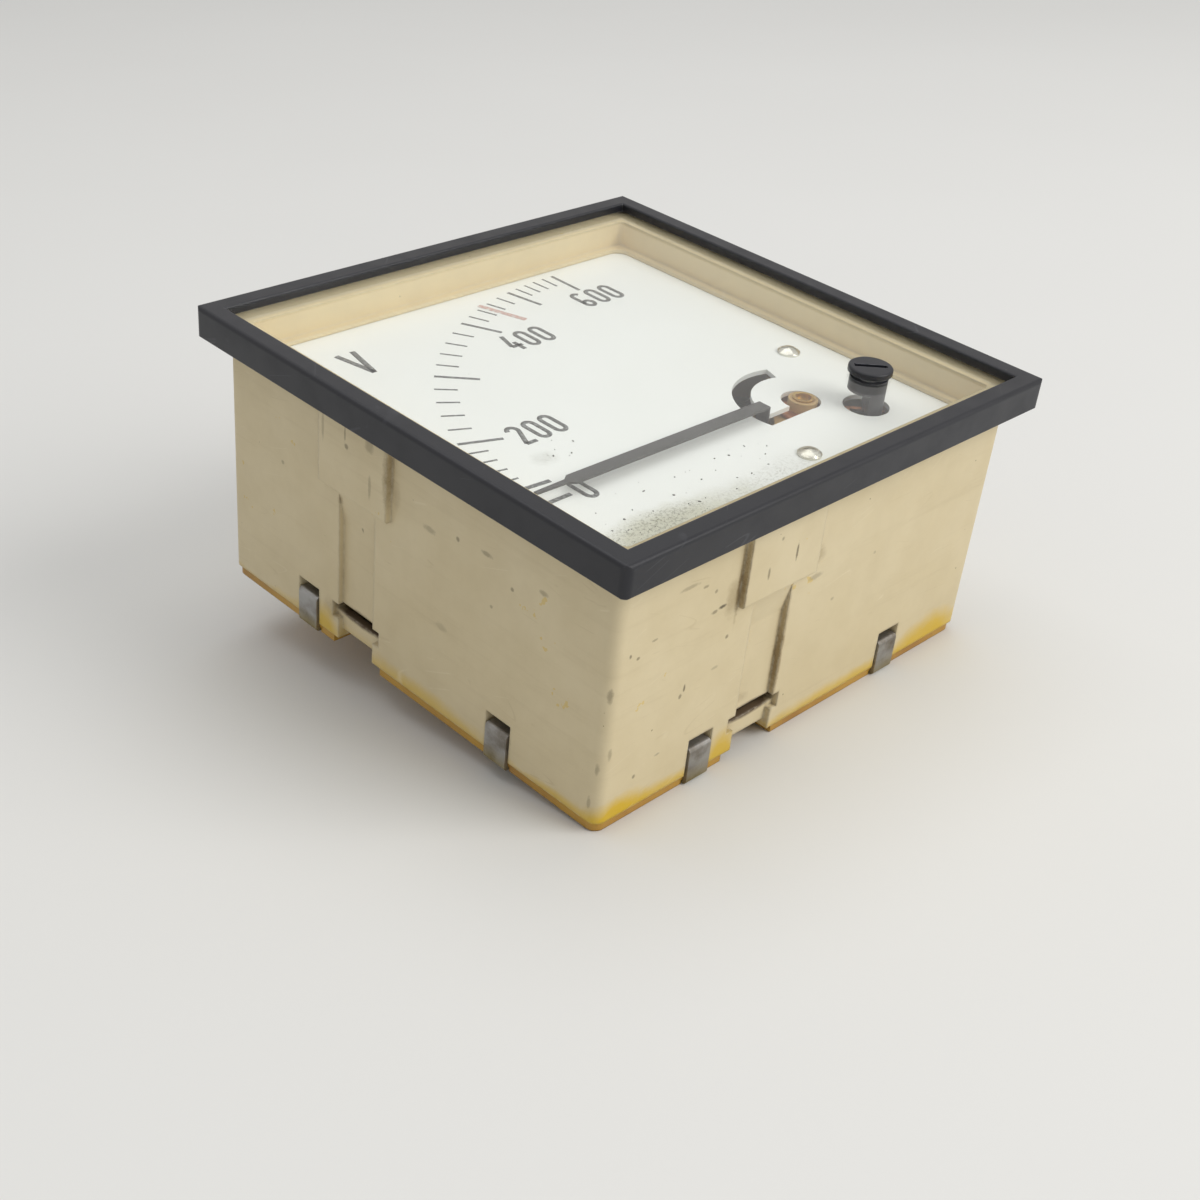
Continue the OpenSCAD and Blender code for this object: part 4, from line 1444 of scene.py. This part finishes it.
@dataclass
class Movement(SubAssembly):
    """Fixed parts of the movement."""

    finishes: ClassVar[Finishes] = {
        "tan_moulding": ("bearing_bridge", "damping_box"),
        "lid_board": ("damping_lid", "resistor_board"), "brown_moulding": ("movement_cup",),
        "steel": ("bridge_screws", "cup_screws", "board_screws"),
        "turned_brass": ("front_jewel_screw", "rear_jewel_screw", "rear_lock_nut", "board_spacers"),
        "bobbin_moulding": ("coil_bobbin",), "coil_wire": ("coil_winding",),
        "soft_iron": ("fixed_iron",), "resistor_ceramic": ("series_resistors",),
        "lead_red": ("lead_input", "lead_coil"), "lead_black": ("lead_return",)}


@dataclass
class Terminals(SubAssembly):
    """Studs with their nuts and washers, and the threads on their free ends."""

    finishes: ClassVar[Finishes] = {
        "turned_brass": ("terminal_studs", "fixing_nuts", "terminal_nuts"),
        "bright_screw": ("solder_lugs", "fixing_washers", "contact_washers")}
    pitch: float = 0.7
    root: float = 1.88
    depth: float = 0.24
    turns: float = 2.0
    spacing: float = 40.0

    def build(self, book: FinishBook) -> list[Object]:
        """Cut the threads on both studs.

        Args:
            book: The finishes.

        Returns:
            The piece with both threads.
        """
        low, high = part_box("terminal_studs")
        start = low.z + self.pitch * MM / 2
        mesh = bpy.data.meshes.new("stud_ends")
        mesh.from_pydata(
            [(side * self.spacing / 2 * MM, (low.y + high.y) / 2, start) for side in (-1, 1)], [], [])
        piece = thread_tree().bake(
            add_object("stud_ends", mesh), "stud_threads",
            {
                "Root": self.root * MM, "Pitch": self.pitch * MM, "Turns": self.turns,
                "Depth": self.depth * MM, "Material": book["turned_brass"]})
        return [self.keep(piece, "turned_brass")]


# -------------------------------------------------------------------- studio


@dataclass(frozen=True)
class Lamp:
    """A square soft lamp that faces the meter; place and side in metres, power in watts."""

    name: str
    place: Point
    power: float
    side: float
    colour: Colour = (1.0, 1.0, 1.0)

    def hang(self) -> None:
        """Hang the lamp."""
        data = bpy.data.lights.new(self.name, "AREA")
        data.energy, data.size, data.color = self.power, self.side, self.colour
        lamp = add_object(self.name, data)
        lamp.location = self.place
        lamp.rotation_euler = (-Vector(self.place)).to_track_quat("-Z", "Y").to_euler()


@dataclass
class Studio:
    """Floor, lamps, world and camera; sizes in millimetres."""

    eye: Point = (-184.41, -166.57, 116.88)
    forward: Point = (0.62424, 0.56154, -0.54314)
    right: Point = (0.70851, -0.69984, 0.09075)
    lens: float = 50.93
    world_strength: float = 0.5
    backdrop: Colour = srgb(206, 204, 201)
    floor_gap: float = 0.05
    floor_reach_m: float = 4.0
    floor_sides: int = 48
    lamps: tuple[Lamp, ...] = (
        Lamp("key_lamp", (0.45, -0.95, 0.9), 11.0, 0.8, (1.0, 0.985, 0.96)),
        Lamp("top_lamp", (0.1, 0.3, 1.2), 5.5, 1.2),)

    def floor(self, book: FinishBook) -> None:
        """Lay the floor under the studs and the rear plate's lower edge, where the meter leans.

        Args:
            book: The finishes.
        """
        plate_low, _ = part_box("base_plate")
        stud_low, stud_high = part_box("terminal_studs")
        edge = Vector((0.0, plate_low.y, plate_low.z))
        side = Vector((1.0, 0.0, 0.0))
        along = (Vector((0.0, (stud_low.y + stud_high.y) / 2, stud_low.z)) - edge).normalized()
        normal = side.cross(along).normalized()
        point = edge - normal * self.floor_gap * MM
        rim = [
            point + (side * math.cos(t) + along * math.sin(t)) * self.floor_reach_m
            for t in (2 * math.pi * i / self.floor_sides for i in range(self.floor_sides))]
        mesh = bpy.data.meshes.new("floor")
        mesh.from_pydata([tuple(p) for p in rim], [], [tuple(range(self.floor_sides))])
        mesh.materials.append(book["pale_floor"])
        add_object("floor", mesh)

    def world(self) -> None:
        """Even light from all round, with a pale backdrop for what looks past the floor."""
        world = bpy.data.worlds.new("studio")
        world.use_nodes = True
        kit = ShaderTree(world.node_tree)
        rays = kit.add("LightPath")
        seen = kit.math(
            "MAXIMUM", rays.outputs["Is Camera Ray"],
            kit.math("MAXIMUM", rays.outputs["Is Glossy Ray"], rays.outputs["Is Transmission Ray"]))
        light = kit.add("Background", {"Color": (1.0, 0.995, 0.985), "Strength": self.world_strength})
        back = kit.add("Background", {"Color": self.backdrop, "Strength": 1.0})
        both = kit.add("MixShader", {0: seen})
        kit.feed(both.inputs[1], light.outputs[0])
        kit.feed(both.inputs[2], back.outputs[0])
        kit.feed(kit.add("OutputWorld").inputs["Surface"], both.outputs[0])
        bpy.context.scene.world = world

    def camera(self) -> None:
        """Place the camera."""
        data = bpy.data.cameras.new("camera")
        data.lens, data.sensor_width = self.lens, 36.0
        data.clip_start, data.clip_end = 0.005, 50.0
        camera = add_object("camera", data)
        ahead = Vector(self.forward).normalized()
        side = (Vector(self.right) - ahead * ahead.dot(Vector(self.right))).normalized()
        turn = Matrix((side, side.cross(ahead), -ahead)).transposed()
        camera.matrix_world = Matrix.Translation(metres(self.eye)) @ turn.to_4x4()
        bpy.context.scene.camera = camera

    def build(self, book: FinishBook) -> None:
        """Set up the whole studio.

        Args:
            book: The finishes.
        """
        self.floor(book)
        for lamp in self.lamps:
            lamp.hang()
        self.world()
        self.camera()
        bpy.context.scene.view_settings.view_transform = "Standard"


def main() -> None:
    """Build the finishes, the sub-assemblies and the studio."""
    logging.basicConfig(level=logging.INFO, format="%(name)s: %(message)s")
    book = FinishBook(EffectLibrary())
    dressed = 0
    for part in (Front(), Case(), Dial(), PointerSystem(), ZeroAdjuster(), Movement(), Terminals()):
        count = part.dress(book)
        added = part.build(book)
        LOG.info(
            "%s: %d packed pieces dressed, added %s", type(part).__name__, count,
            ", ".join(piece.name for piece in added) or "none")
        dressed += count
    if dressed != len(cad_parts):
        raise ValueError(f"{dressed} of {len(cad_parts)} packed pieces have a finish")
    Studio().build(book)


if __name__ == "__main__":
    main()
